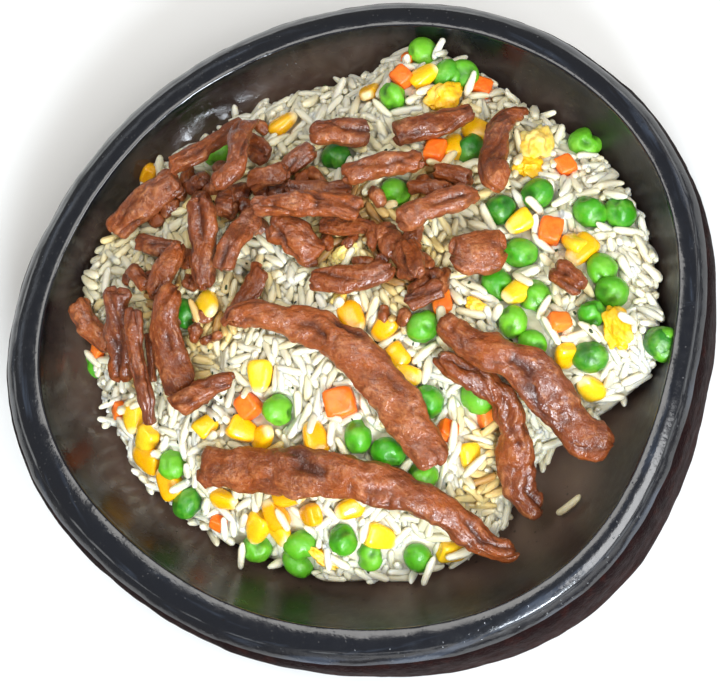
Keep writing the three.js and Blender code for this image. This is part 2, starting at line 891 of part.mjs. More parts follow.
function cubePiece(size, random) {
  const geometry = new THREE.BoxGeometry(size, size * (0.85 + random() * 0.2), size * (0.75 + random() * 0.3));
  geometry.deleteAttribute('normal');
  geometry.deleteAttribute('uv');
  return mergeVertices(geometry, 1e-3);
}

function placePiece(geometry, point, normal, tilt, random) {
  const stand = new THREE.Quaternion().setFromUnitVectors(new THREE.Vector3(0, 1, 0), normal);
  const spin = new THREE.Quaternion().setFromAxisAngle(new THREE.Vector3(0, 1, 0), random() * Math.PI * 2);
  const axis = new THREE.Vector3(random() - 0.5, 0, random() - 0.5).normalize();
  const lean = new THREE.Quaternion().setFromAxisAngle(axis, (random() * 2 - 1) * tilt);
  const turn = stand.multiply(spin).multiply(lean);
  geometry.applyMatrix4(new THREE.Matrix4().compose(point, turn, new THREE.Vector3(1, 1, 1)));
  return geometry;
}

function pieceKinds(random) {
  const pea = (scale) => new THREE.Vector3(PEA_RADIUS, PEA_RADIUS, PEA_RADIUS).multiplyScalar(scale);
  return [
    {
      places: EGG_PLACES,
      lift: PIECE_LIFT,
      tilt: 0.4,
      make: () => roundPiece(EGG_SIZE, 7, 4, random, 0.14),
    },
    {
      places: PEA_PLACES,
      lift: PIECE_LIFT,
      tilt: 3,
      make: () => roundPiece(pea(0.94 + random() * 0.12), 7, 5, random, 0.02),
    },
    {
      places: CARROT_PLACES,
      lift: PIECE_LIFT,
      tilt: 0.6,
      make: () => cubePiece(CARROT_SIZE, random),
    },
    {
      places: CORN_PLACES,
      lift: PIECE_LIFT,
      tilt: 0.8,
      make: () => roundPiece(CORN_SIZE, 5, 4, random, 0.05),
    },
    {
      places: EDGE_GRAIN_PLACES,
      lift: GRAIN_LIFT,
      tilt: 0.35,
      make: () => roundPiece(GRAIN_SIZE, 5, 4, random, 0),
    },
  ];
}

function fusePieces(core, blocked, room) {
  const random = seededRandom(77);
  let heap = core;
  let taken = blocked;
  const tryPiece = (make, point, tilt) => {
    const normal = heapNormal(point.x, point.y);
    for (let sink = 0; sink < SINK_STEPS; sink += 1) {
      const middle = point.clone().addScaledVector(normal, -sink * SINK_DEPTH);
      const piece = solidFrom(placePiece(make(), middle, normal, tilt, random));
      if (piece.intersect(taken).isEmpty()) {
        heap = heap.add(piece.intersect(room));
        return;
      }
    }
  };
  for (const kind of pieceKinds(random)) {
    for (const place of kind.places) {
      tryPiece(kind.make, onHeap(place, kind.lift), kind.tilt);
    }
  }
  return largestBody(heap);
}

function bowlSurface(x, y) {
  const { angle, radius } = planPolar(x, y);
  return new THREE.Vector3(x, y, bowlHeight(bowlRun(angle, radius)));
}

// A single grain that lies on the wall of the dish, its length along the surface
function looseGrainGeometry() {
  let spot = bowlSurface(...onSightLine(LOOSE_GRAIN_PLACE, FLOOR_HEIGHT).toArray());
  for (let pass = 0; pass < 6; pass += 1) {
    spot = bowlSurface(...onSightLine(LOOSE_GRAIN_PLACE, spot.z).toArray());
  }
  const reach = 2;
  const eastward = bowlSurface(spot.x + reach, spot.y).sub(bowlSurface(spot.x - reach, spot.y));
  const northward = bowlSurface(spot.x, spot.y + reach).sub(bowlSurface(spot.x, spot.y - reach));
  const normal = eastward.clone().cross(northward).normalize();
  const along = onSightLine(LOOSE_GRAIN_END, spot.z).sub(spot).projectOnPlane(normal).normalize();
  const across = normal.clone().cross(along);
  const geometry = roundPiece(LOOSE_GRAIN_SIZE, 6, 5, seededRandom(3), 0);
  spot.addScaledVector(normal, LOOSE_GRAIN_SIZE.z + CLEARANCE * 1.6);
  geometry.applyMatrix4(new THREE.Matrix4().makeBasis(along, normal, across.negate()).setPosition(spot));
  return geometry;
}

// Materials
function dishMaterial() {
  return new THREE.MeshStandardMaterial({ color: 0x4d413c, roughness: 0.35, metalness: 0 });
}

function riceMaterial() {
  return new THREE.MeshStandardMaterial({ color: 0xe4dcc6, roughness: 0.55, metalness: 0 });
}

function beefMaterial() {
  return new THREE.MeshStandardMaterial({ color: 0x7e412a, roughness: 0.45, metalness: 0 });
}

function addNode(group, name, geometry, material) {
  const mesh = new THREE.Mesh(geometry, material);
  mesh.name = name;
  group.add(mesh);
}

function friedRicePlate() {
  const group = new THREE.Group();
  const dish = dishGeometry();
  addNode(group, 'dish', dish, dishMaterial());

  const room = solidFrom(bowlRoomGeometry());
  const core = largestBody(solidFrom(heapBlockGeometry()).intersect(room));
  const ground = new Ground();
  ground.add(dish);
  ground.add(geometryFrom(core));

  let laid = solidFrom(dish).add(core);
  let blocked = null;
  BEEF_STRIPS.forEach((strip, i) => {
    const { geometry, grown } = layStrip(strip, ground, laid, 100 + i);
    ground.add(geometry);
    laid = laid.add(solidFrom(geometry));
    blocked = blocked === null ? grown : blocked.add(grown);
    addNode(group, strip.name, geometry, beefMaterial());
  });

  addNode(group, 'rice_heap', geometryFrom(fusePieces(core, blocked, room)), riceMaterial());
  addNode(group, 'loose_rice_grain', looseGrainGeometry(), riceMaterial());
  return group;
}

export default friedRicePlate();
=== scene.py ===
"""Fried rice with vegetables, egg and browned beef strips in a dark hand-made dish. Metres, +Z up."""
from functools import reduce
from math import cos, exp, floor, pi, radians, sin, sqrt

import bpy
import numpy as np
from mathutils import Matrix, Vector
from mathutils.bvhtree import BVHTree


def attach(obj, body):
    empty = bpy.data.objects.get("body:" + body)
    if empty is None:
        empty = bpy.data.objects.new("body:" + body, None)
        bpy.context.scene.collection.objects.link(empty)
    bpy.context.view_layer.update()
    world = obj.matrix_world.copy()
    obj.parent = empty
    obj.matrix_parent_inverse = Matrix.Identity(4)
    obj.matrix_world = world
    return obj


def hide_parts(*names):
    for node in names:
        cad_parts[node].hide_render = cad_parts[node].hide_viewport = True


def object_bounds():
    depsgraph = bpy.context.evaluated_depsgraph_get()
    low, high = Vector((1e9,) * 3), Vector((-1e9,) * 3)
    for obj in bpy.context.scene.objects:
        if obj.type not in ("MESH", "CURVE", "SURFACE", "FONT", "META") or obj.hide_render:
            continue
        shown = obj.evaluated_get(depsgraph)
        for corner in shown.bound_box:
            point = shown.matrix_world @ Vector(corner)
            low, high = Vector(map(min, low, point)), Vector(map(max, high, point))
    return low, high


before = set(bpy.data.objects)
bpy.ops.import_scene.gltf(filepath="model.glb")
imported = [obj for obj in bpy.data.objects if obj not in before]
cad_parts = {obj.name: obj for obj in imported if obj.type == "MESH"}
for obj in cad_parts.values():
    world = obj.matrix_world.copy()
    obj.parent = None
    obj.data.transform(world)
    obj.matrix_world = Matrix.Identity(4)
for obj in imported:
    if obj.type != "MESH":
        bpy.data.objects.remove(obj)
cad_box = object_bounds()

MM = 0.001

# Dish: plan outline as a circle with a few low waves, and its profile, in mm
DISH_RADIUS = 100
OUTLINE_WAVES = [(2, 2.6, -0.4), (3, -2.0, -0.15), (4, -0.2, 0.75), (5, -0.35, 0.25), (6, 0.1, 0.5)]
DISH_HEIGHT = 38
LIP_WIDTH = 10.5
LIP_WIDTH_SWING = -2.6
LIP_DROP = 9
LIP_STEP_IN = 0.8
LIP_STEP_DOWN = 1.6
FLOOR_HEIGHT = 8
BOWL_RUN = 34
BOWL_CURVE = 2.3
OUTER_WALL = [(9, 0), (7.6, 0.25), (5, 1.6), (2.6, 6), (1.6, 10.5), (1.0, 16), (0.2, 23), (0, 29)]
LIP_STEP = [(0.25, 0.12), (0.5, 0.42), (0.72, 0.95), (0.9, 1.5), (1.1, 1.95), (1.35, 2.5)]
GLAZE_DROP = 0.42
DISH_SEGMENTS = 420
# Bearing in degrees of the side of the inside that is painted darker as shade, and made more satin
SATIN_AND_PAINTED_SHADE_SIDE = -25
GLAZE_LINE = 1.34
# Where the wall stands proud: bearing and spread in degrees, run down the wall, reach and height in mm
WALL_SWELL = (126, 15, 8.5, 5, 3.9)
CAD_SEGMENTS = 60

# Heap of rice: where it meets the dish, and its dome, in mm
HEAP_RADIUS = 77.8
HEAP_WAVES = [(1, 2.7, 4.3), (2, 5.8, -0.7)]
HEAP_SWELLS = [(-19.2, 326, 20), (7.5, 76, 13), (6.5, 351, 7), (3.5, 168, 12), (3.2, 268, 10)]
HEAP_PEAK = 47
HEAP_ROUNDNESS = 0.6
HEAP_SKIRT_SLOPE = 1.6
LUMP_HEIGHT = 1.4
LUMP_SIZE = 17
LUMP_SEED = 5

# The photograph's viewpoint
VIEW_DISTANCE = 620
VIEW_ELEVATION = radians(66)
VIEW_BEARING = radians(-45)
VIEW_ROLL = radians(45)
VIEW_TARGET = (1.6, -2.0, 20)
FRAME_WIDTH = 720
FRAME_HEIGHT = 683
FOCAL_PIXELS = 2196
SENSOR_WIDTH = 36

# Beef strips: picture places along the middle, and how brown (0) or pink (1) each one is
BEEF_STRIPS = [
    ("beef_rim_long", [(108, 238), (129, 215), (152, 197), (184, 174)], 0.55),
    ("beef_rim_top", [(165, 170), (190, 158), (208, 146), (228, 132), (250, 122)], 0.5),
    ("beef_flat_left", [(134, 240), (155, 246), (180, 250)], 0.4),
    ("beef_bit_left", [(131, 266), (150, 291)], 0.3),
    ("beef_bit_top", [(245, 138), (270, 162)], 0.35),
    ("beef_bit_middle", [(211, 205), (240, 203)], 0.45),
    ("beef_bit_fork", [(401, 305), (425, 296), (448, 284)], 0.35),
    ("beef_pink_left", [(75, 300), (86, 320), (98, 340), (112, 352)], 0.7),
    ("beef_sliver_left", [(148, 330), (152, 360), (155, 385)], 0.2),
    ("beef_under_left", [(185, 240), (167, 262), (160, 285), (152, 302)], 0.35),
    ("beef_back_bit", [(320, 149), (297, 158), (283, 176)], 0.45),
    ("beef_back_left", [(248, 186), (272, 176), (292, 168)], 0.6),
    ("beef_back_middle", [(281, 184), (310, 188), (335, 186), (356, 189)], 0.55),
    ("beef_back_right", [(429, 172), (450, 171), (474, 181)], 0.4),
    ("beef_back_low", [(406, 191), (428, 184), (452, 193)], 0.3),
    ("beef_loop", [(317, 224), (345, 228), (368, 223), (378, 238), (366, 252)], 0.4),
    ("beef_big_left", [(117, 282), (118, 320), (121, 350), (121, 388)], 0.3),
    ("beef_thin_left", [(143, 300), (138, 335), (138, 365), (146, 395), (154, 428)], 0.25),
    ("beef_brown_left", [(187, 286), (168, 308), (166, 340), (174, 370), (182, 403)], 0.3),
    ("beef_fork_left", [(240, 380), (217, 380), (196, 397), (174, 420)], 0.4),
    ("beef_twist_top", [(258, 122), (239, 143), (240, 165), (226, 179), (207, 186)], 0.4),
    ("beef_dark_upright", [(199, 194), (202, 225), (201, 248), (199, 270), (209, 293)], 0.25),
    ("beef_light_upright", [(262, 208), (240, 225), (226, 250), (221, 276)], 0.65),
    ("beef_low_upright", [(263, 260), (245, 280), (229, 305), (221, 330)], 0.35),
    ("beef_folded_middle", [(266, 228), (290, 232), (308, 249), (323, 264)], 0.55),
    ("beef_hook_middle", [(307, 284), (340, 280), (375, 276), (396, 262)], 0.5),
    ("beef_prong_middle", [(402, 238), (409, 250), (413, 264), (420, 281)], 0.6),
    ("beef_fork_middle", [(480, 195), (445, 203), (415, 213), (393, 225)], 0.75),
    ("beef_chunk_right", [(436, 250), (470, 246), (513, 247)], 0.65),
    ("beef_long_middle", [(252, 212), (285, 204), (325, 204), (367, 209)], 0.6),
    ("beef_top_left", [(305, 134), (340, 131), (374, 132)], 0.5),
    ("beef_top_middle", [(388, 138), (420, 128), (450, 119), (479, 111)], 0.35),
    ("beef_top_lower", [(338, 178), (365, 169), (395, 162), (428, 160)], 0.6),
    ("beef_hook_right", [(530, 118), (510, 111), (498, 127), (496, 150), (490, 168), (508, 188)], 0.3),
    ("beef_nub_right", [(550, 264), (567, 277), (585, 294)], 0.3),
    ("beef_lower_right", [(431, 353), (455, 368), (480, 382), (503, 395), (512, 430), (516, 468),
                          (524, 500), (548, 511)], 0.25),
    ("beef_far_right", [(440, 314), (455, 335), (485, 350), (520, 365), (545, 388), (563, 415),
                        (588, 440), (618, 447)], 0.3),
    ("beef_long_front", [(193, 468), (215, 467), (260, 471), (310, 471), (360, 480), (400, 491),
                         (440, 508), (468, 532), (495, 550), (524, 552)], 0.5),
    ("beef_diagonal", [(222, 324), (245, 312), (275, 318), (310, 326), (345, 345), (372, 370),
                       (395, 400), (418, 435), (440, 470)], 0.75),
]
STRIP_STEP = 0.5
STRIP_SIDES = 64
STRIP_SQUARENESS = 2.3
STRIP_SWELL_LIMIT = 0.6
STRIP_END_REACH = 0.8

# Pieces in the rice: picture place, then size in mm or scale, and how far one may be moved out of the beef
SETTLE_LIMIT = 4.0
PEA_RADIUS = 4.75
PEAS = [
    (424, 52), (393, 97), (447, 76), (463, 77), (337, 157), (217, 152), (470, 150), (585, 143),
    (500, 210), (590, 212), (620, 213), (537, 194), (520, 253), (495, 278), (603, 270), (612, 292),
    (535, 297), (513, 322), (533, 343), (592, 315), (590, 357), (660, 342), (422, 325), (428, 402),
    (97, 367), (278, 410), (358, 437), (188, 503), (257, 548), (300, 545), (343, 540), (370, 556),
    (418, 558), (388, 453), (422, 478), (478, 397), (398, 192), (174, 465), (298, 562), (185, 315),
    (665, 345),
]
CORN_SIZE = (4.7, 4.0, 2.7)
CORN = [
    (424, 76), (369, 93), (283, 124), (149, 173), (478, 130), (453, 147), (520, 222), (575, 243),
    (581, 250), (517, 292), (565, 357), (590, 388), (208, 305), (260, 376), (207, 425), (243, 430),
    (263, 437), (134, 418), (146, 440), (147, 458), (170, 483), (225, 500), (275, 514), (280, 530),
    (310, 515), (258, 528), (290, 493), (315, 438), (393, 360), (406, 376), (384, 328), (352, 318),
    (350, 508), (452, 552), (470, 457), (380, 537),
]
CARROT_SIZE = 7.6
CARROTS = [
    (403, 78, 0.75), (408, 58, 0.5), (480, 87, 0.8), (436, 153, 0.85), (565, 165, 0.7), (550, 232, 0.9),
    (440, 300, 0.9), (560, 322, 0.75), (248, 405, 0.85), (340, 403, 1.05), (119, 410, 0.6),
    (218, 523, 0.6), (487, 418, 0.75), (447, 430, 0.7), (98, 352, 0.5),
]
EGGS = [
    ((445, 95), (6.4, 3.8, 2.6)), ((535, 145), (7.6, 4.2, 3)), ((528, 167), (4.2, 3, 2.4)),
    ((617, 328), (6, 4, 2.6)), ((343, 255), (4.4, 2.4, 2)), ((475, 305), (3, 2.2, 2)),
    ((323, 558), (4.6, 1.8, 1.8)), ((340, 298), (2.8, 1.8, 1.6)),
]
# Crumbs of beef in the gaps of the strips: picture place and half length in mm
CRUMBS = [
    (188, 176, 3.6), (197, 186, 4.2), (203, 178, 3.2), (184, 190, 3.4), (232, 205, 4.4), (245, 208, 3.6),
    (262, 190, 4.2), (276, 190, 3.8), (302, 180, 4.4), (318, 178, 3.6), (384, 232, 4.2), (391, 243, 4.4),
    (401, 256, 4.2), (410, 270, 3.8), (427, 264, 3.6), (433, 277, 4.2), (418, 288, 4.0), (432, 291, 3.4),
    (443, 282, 3.6), (380, 262, 3.4), (424, 184, 3.6), (446, 190, 3.2), (463, 186, 3.6), (149, 282, 3.4),
    (160, 293, 3.8), (188, 262, 3.4), (190, 282, 3.2), (166, 251, 3.6), (160, 169, 3.2), (403, 318, 2.6),
    (384, 314, 2.8), (262, 128, 3.4), (205, 392, 3.0), (350, 240, 3.0), (128, 276, 3.0),
]
# More crumbs, where the strips lie closest together
CLUSTER_CRUMBS = [
    (201, 200, 4.0), (213, 187, 4.2), (238, 193, 4.4), (170, 208, 3.6), (156, 220, 3.4), (257, 226, 3.2),
    (325, 243, 3.4), (362, 262, 3.0), (196, 330, 3.6), (212, 338, 3.2), (203, 317, 3.0), (334, 190, 3.8),
    (352, 218, 3.4), (290, 196, 3.2), (376, 196, 3.6), (178, 318, 3.0), (412, 236, 3.6), (225, 168, 3.6),
]
# Places where the rice is tinted brown, partly for sauce soaked into it and partly as painted shade in the
# gaps among the strips: picture place and radius in pixels
SAUCE_AND_PAINTED_SHADE_PLACES = [
    (402, 262, 34), (335, 240, 18), (378, 218, 16), (440, 236, 13), (207, 322, 20), (157, 300, 15),
    (195, 185, 16), (272, 190, 18), (232, 206, 13), (428, 182, 16), (478, 492, 20), (558, 468, 14),
    (138, 385, 14), (390, 318, 14), (300, 212, 12), (180, 275, 12), (470, 345, 9), (300, 190, 26),
    (228, 188, 24), (352, 202, 22), (418, 208, 16), (160, 215, 10), (330, 246, 16),
]
# How far from the beef the rice is tinted, in mm
SOAK_DEPTH = 4.0
# Middle and one end of the grain that lies apart on the wall, in the picture
LOOSE_GRAIN_PLACE = (573, 509)
LOOSE_GRAIN_END = (590, 503)

# Rice grains
GRAIN_HALF_LENGTH = 4.4
GRAIN_HALF_WIDTH = 1.28
GRAIN_HALF_THICK = 1.15
GRAIN_LIMIT = 2560
GRAIN_SIDES = 6
GRAIN_RINGS = [-0.965, -0.8, -0.38, 0.38, 0.8, 0.965]
# Height of each level over the heap's surface, how many places are tried, and how far they wander from it
GRAIN_LEVELS = [
    (-2.5, 14000, 0.3), (-1.7, 16000, 0.4), (-0.9, 16000, 0.5), (-0.1, 15000, 0.5), (0.6, 9000, 0.4),
]
GRAIN_FIELD = 94
GRAIN_TURNS = 12
# What a grain keeps clear of its neighbours, the larger pieces, the beef and the dish, in mm
GRAIN_GAP = 1.1
PIECE_GAP = 0.55
MEAT_GAP = 0.75
DISH_GAP = 1.2
EDGE_GRAINS = 60

# The body of the heap under the grains, and the flecks on them
CORE_STEPS = 300
CORE_ROWS = 120
CORE_DEPTH = 2.7
SPECK_COUNT = 150
SPECK_FIELD = 76

# A height above all of the food, in mm
HIGH_ABOVE = HEAP_PEAK + 12

# Lights: name, place and size in metres, power in watts, colour
LIGHTS = [
    ("light_main", (0.738, -0.393, 0.929), (0.7, 0.6), 10.5, (0.98, 0.99, 1.0)),
    ("light_top", (-0.232, 0.194, 1.213), (0.7, 0.7), 6.5, (1.0, 0.98, 0.94)),
    ("light_far", (-0.868, 0.608, 0.563), (0.9, 0.15), 0.35, (0.86, 0.92, 1.0)),
    ("light_side", (0.433, -0.973, 0.746), (0.36, 0.3), 19, (0.84, 0.92, 1.0)),
]
LIGHT_TARGET = (0, 0, 0.03)
SKY_COLOUR = (0.98, 0.97, 0.95, 1)
SKY_POWER = 0.26
SKY_BAND_POWER = 1.5
SKY_BAND_BEARING = -30

random = np.random.default_rng(2028)
between = random.uniform


def norm(vector, **settings):
    return np.linalg.norm(vector, **settings)


def unit(vector):
    return vector / norm(vector)


def each_unit(vectors):
    return vectors / norm(vectors, axis=-1, keepdims=True)


def stacked(*parts):
    return np.stack(parts, axis=-1)


def circle(count):
    """Angles of evenly spaced steps round a circle."""
    return np.arange(count) / count * 2 * pi


# Repeatable noise
def lattice(cells, seed):
    mixed = (cells[..., 0] * 374761393 + cells[..., 1] * 668265263 + cells[..., 2] * 1274126177
             + seed * 974634777) & 0xFFFFFFFF
    mixed = ((mixed ^ (mixed >> 13)) * 1103515245) & 0xFFFFFFFF
    mixed = mixed ^ (mixed >> 16)
    return mixed / 2147483648.0 - 1


def noise(points, size, seed):
    """Smooth noise from -1 to 1 over points of three coordinates."""
    scaled = np.asarray(points, dtype=float) / size
    cells = np.floor(scaled).astype(np.int64)
    part = scaled - cells
    part = part * part * (3 - 2 * part)
    total = np.zeros(scaled.shape[:-1])
    for corner in range(8):
        offset = np.array([corner & 1, (corner >> 1) & 1, corner >> 2])
        weight = np.prod(np.where(offset == 1, part, 1 - part), axis=-1)
        total += weight * lattice(cells + offset, seed)
    return total


def lump_value(i, j):
    """The source's random number for one lattice point of the heap's lumps."""
    state = (i * 7349 + j * 9151 + LUMP_SEED * 131 + 0x6D2B79F5) & 0xFFFFFFFF
    mixed = ((state ^ (state >> 15)) * (1 | state)) & 0xFFFFFFFF
    step = ((mixed ^ (mixed >> 7)) * (61 | mixed)) & 0xFFFFFFFF
    mixed = ((mixed + step) & 0xFFFFFFFF) ^ mixed
    return ((mixed ^ (mixed >> 14)) & 0xFFFFFFFF) / 2147483648.0 - 1


LUMP_CELLS = 9
LUMP_TABLE = np.array([[lump_value(i, j) for j in range(-LUMP_CELLS, LUMP_CELLS + 1)]
                       for i in range(-LUMP_CELLS, LUMP_CELLS + 1)])


def lumps(x, y):
    column = np.clip(np.floor(x / LUMP_SIZE).astype(int), -LUMP_CELLS, LUMP_CELLS - 1)
    row = np.clip(np.floor(y / LUMP_SIZE).astype(int), -LUMP_CELLS, LUMP_CELLS - 1)
    across = np.clip(x / LUMP_SIZE - column, 0, 1)
    along = np.clip(y / LUMP_SIZE - row, 0, 1)
    across = across * across * (3 - 2 * across)
    along = along * along * (3 - 2 * along)
    i = column + LUMP_CELLS
    j = row + LUMP_CELLS
    near = LUMP_TABLE[i, j] * (1 - across) + LUMP_TABLE[i + 1, j] * across
    far = LUMP_TABLE[i, j + 1] * (1 - across) + LUMP_TABLE[i + 1, j + 1] * across
    return near * (1 - along) + far * along


# Shape of the dish and of the heap
def wave_sum(angle, waves):
    total = np.zeros_like(np.asarray(angle, dtype=float))
    for count, cosine, sine in waves:
        total = total + cosine * np.cos(count * angle) + sine * np.sin(count * angle)
    return total


def outline_radius(angle):
    return DISH_RADIUS + wave_sum(angle, OUTLINE_WAVES)


def lip_width(angle):
    return LIP_WIDTH + LIP_WIDTH_SWING * np.cos(angle)


def outline_middle():
    angle = circle(CAD_SEGMENTS)
    x = outline_radius(angle) * np.cos(angle)
    y = outline_radius(angle) * np.sin(angle)
    return np.array([(x.min() + x.max()) / 2, (y.min() + y.max()) / 2])


OUTLINE_MIDDLE = outline_middle()


def plan_polar(x, y):
    px = x + OUTLINE_MIDDLE[0]
    py = y + OUTLINE_MIDDLE[1]
    return np.arctan2(py, px), np.hypot(px, py)


def from_polar(angle, radius):
    return radius * np.cos(angle) - OUTLINE_MIDDLE[0], radius * np.sin(angle) - OUTLINE_MIDDLE[1]


def bowl_height(run):
    rest = np.clip(1 - run / BOWL_RUN, 0, 1)
    return FLOOR_HEIGHT + (DISH_HEIGHT - LIP_STEP_DOWN - FLOOR_HEIGHT) * rest ** BOWL_CURVE


def bowl_run(angle, radius):
    return outline_radius(angle) - radius - lip_width(angle) - LIP_STEP_IN


def dish_height(x, y):
    angle, radius = plan_polar(x, y)
    return bowl_height(bowl_run(angle, radius))


def heap_radius(angle):
    radius = HEAP_RADIUS + wave_sum(angle, HEAP_WAVES)
    for reach, place, spread in HEAP_SWELLS:
        turn = angle - radians(place)
        away = np.degrees(np.arctan2(np.sin(turn), np.cos(turn)))
        radius = radius + reach * np.exp(-((away / spread) ** 2))
    return radius


def heap_part(x, y):
    angle, radius = plan_polar(x, y)
    return radius / heap_radius(angle)


def heap_height(x, y):
    x = np.asarray(x, dtype=float)
    y = np.asarray(y, dtype=float)
    angle, radius = plan_polar(x, y)
    edge = heap_radius(angle)
    foot = bowl_height(bowl_run(angle, edge))
    part = radius / edge
    dome = foot + (HEAP_PEAK - foot) * np.clip(1 - part * part, 0, 1) ** HEAP_ROUNDNESS
    dome = dome + LUMP_HEIGHT * lumps(x, y) * np.clip((1 - part) * 4, 0, 1)
    return np.where(part >= 1, foot - (radius - edge) * HEAP_SKIRT_SLOPE, dome)


def food_height(x, y):
    """The heap, or the dish where that is higher."""
    return np.maximum(heap_height(x, y), dish_height(x, y))


def surface_normal(height, x, y, reach):
    slope_x = (height(x + reach, y) - height(x - reach, y)) / (2 * reach)
    slope_y = (height(x, y + reach) - height(x, y - reach)) / (2 * reach)
    return each_unit(stacked(-slope_x, -slope_y, np.ones_like(slope_x)))


def dish_normal(x, y):
    return surface_normal(dish_height, x, y, 2)


def heap_normal(x, y):
    return surface_normal(heap_height, x, y, 2.5)


# Sight lines from the photograph's viewpoint
def view_axes():
    """Right, up and back of the camera, in the part's axes."""
    flat = cos(VIEW_ELEVATION)
    back = np.array([flat * cos(VIEW_BEARING), flat * sin(VIEW_BEARING), sin(VIEW_ELEVATION)])
    level = np.array([-sin(VIEW_BEARING), cos(VIEW_BEARING), 0.0])
    upright = np.cross(back, level)
    right = level * cos(VIEW_ROLL) - upright * sin(VIEW_ROLL)
    up = level * sin(VIEW_ROLL) + upright * cos(VIEW_ROLL)
    return right, up, back


VIEW_RIGHT, VIEW_UP, VIEW_BACK = view_axes()
VIEW_START = np.array(VIEW_TARGET) + VIEW_BACK * VIEW_DISTANCE


def sight(place):
    across = (place[0] - FRAME_WIDTH / 2) / FOCAL_PIXELS
    down = (place[1] - FRAME_HEIGHT / 2) / FOCAL_PIXELS
    return unit(VIEW_RIGHT * across - VIEW_UP * down - VIEW_BACK)


def on_height(place, height):
    direction = sight(place)
    return VIEW_START + direction * ((height - VIEW_START[2]) / direction[2])


def on_surface(place, surface, lift):
    """The place's point that is lift above a height field."""
    heights = np.arange(HIGH_ABOVE, 5, -0.1)
    direction = sight(place)
    points = VIEW_START + direction * ((heights - VIEW_START[2]) / direction[2])[:, None]
    below = points[:, 2] <= surface(points[:, 0], points[:, 1]) + lift
    return points[int(np.argmax(below))]


# Building meshes; shapes are worked out in mm
def make_mesh(name, points, faces, values=None, vectors=None):
    mesh = bpy.data.meshes.new(name)
    mesh.from_pydata((np.asarray(points) * MM).tolist(), [], [list(map(int, face)) for face in faces])
    for key, numbers in (values or {}).items():
        layer = mesh.attributes.new(key, "FLOAT", "POINT")
        layer.data.foreach_set("value", np.asarray(numbers, dtype=np.float32))
    for key, numbers in (vectors or {}).items():
        layer = mesh.attributes.new(key, "FLOAT_VECTOR", "POINT")
        layer.data.foreach_set("vector", np.asarray(numbers, dtype=np.float32).ravel())
    mesh.polygons.foreach_set("use_smooth", [True] * len(mesh.polygons))
    mesh.update()
    return mesh


def add_piece(name, mesh, material, slot, nodes):
    piece = bpy.data.objects.new(name, mesh)
    bpy.context.collection.objects.link(piece)
    if material is not None:
        mesh.materials.append(material)
    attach(piece, "root")
    for node in nodes:
        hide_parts(node)


def ring_faces(rings, sides):
    """Quads between closed rings of points, with a point at each end as the last two points."""
    faces = []
    for ring in range(rings - 1):
        for side in range(sides):
            following = (side + 1) % sides
            faces.append((ring * sides + side, ring * sides + following,
                          (ring + 1) * sides + following, (ring + 1) * sides + side))
    start = rings * sides
    for side in range(sides):
        following = (side + 1) % sides
        faces.append((start, following, side))
        faces.append((start + 1, (rings - 1) * sides + side, (rings - 1) * sides + following))
    return faces


class Joined:
    """Many small closed shapes of one kind, joined into one mesh."""

    def __init__(self):
        self.points = []
        self.faces = []
        self.values = {}
        self.count = 0

    def add(self, points, faces, **values):
        self.points.append(points)
        self.faces.append(np.asarray(faces) + self.count)
        self.count += len(points)
        for key, value in values.items():
            numbers = np.broadcast_to(np.asarray(value, dtype=float), (len(points),))
            self.values.setdefault(key, []).append(numbers)

    def mesh(self, name):
        values = {key: np.concatenate(parts) for key, parts in self.values.items()}
        faces = [tuple(face) for part in self.faces for face in part]
        return make_mesh(name, np.concatenate(self.points), faces, values)


def ball(across, rows):
    """Unit sphere as points and triangles."""
    points = []
    for row in range(1, rows):
        polar = pi * row / rows
        for step in range(across):
            turn = 2 * pi * step / across
            ring = sin(polar)
            points.append((ring * cos(turn), ring * sin(turn), cos(polar)))
    points += [(0, 0, 1), (0, 0, -1)]
    faces = []
    for face in ring_faces(rows - 1, across):
        if len(face) == 4:
            faces += [(face[0], face[3], face[2]), (face[0], face[2], face[1])]
        else:
            faces.append((face[0], face[2], face[1]))
    return np.array(points), np.array(faces)


def turned(points, normal, spin, lean):
    """Points stood on a normal, spun about it and leaned a little."""
    axis = np.array([cos(spin * 1.7 + 1), sin(spin * 1.7 + 1), 0])
    turn = Vector((0, 0, 1)).rotation_difference(Vector(normal)).to_matrix()
    turn = turn @ Matrix.Rotation(spin, 3, "Z") @ Matrix.Rotation(lean, 3, Vector(axis))
    return points @ np.array(turn).T


# Materials
def srgb(code):
    parts = [int(code[i:i + 2], 16) / 255 for i in (0, 2, 4)]
    return (*[part / 12.92 if part <= 0.04045 else ((part + 0.055) / 1.055) ** 2.4 for part in parts], 1)


class Nodes:
    """Short ways to add nodes to a node tree. A colour may be given as its six-letter code."""

    def __init__(self, tree):
        self.tree = tree

    def put(self, socket, value):
        if isinstance(value, bpy.types.NodeSocket):
            self.tree.links.new(value, socket)
        else:
            socket.default_value = srgb(value) if isinstance(value, str) else value

    def node(self, kind, inputs=None, **settings):
        node = self.tree.nodes.new("ShaderNode" + kind)
        for key, value in settings.items():
            setattr(node, key, value)
        for key, value in (inputs or {}).items():
            self.put(node.inputs[key], value)
        return node

    def math(self, operation, *values):
        return self.node("Math", dict(enumerate(values)), operation=operation).outputs[0]

    def plus(self, *parts):
        return reduce(lambda first, second: self.math("ADD", first, second), parts)

    def times(self, *parts):
        return reduce(lambda first, second: self.math("MULTIPLY", first, second), parts)

    def span(self, value, low, high, to_low=0.0, to_high=1.0):
        return self.node("MapRange", {"Value": value, "From Min": low, "From Max": high,
                                      "To Min": to_low, "To Max": to_high}).outputs["Result"]


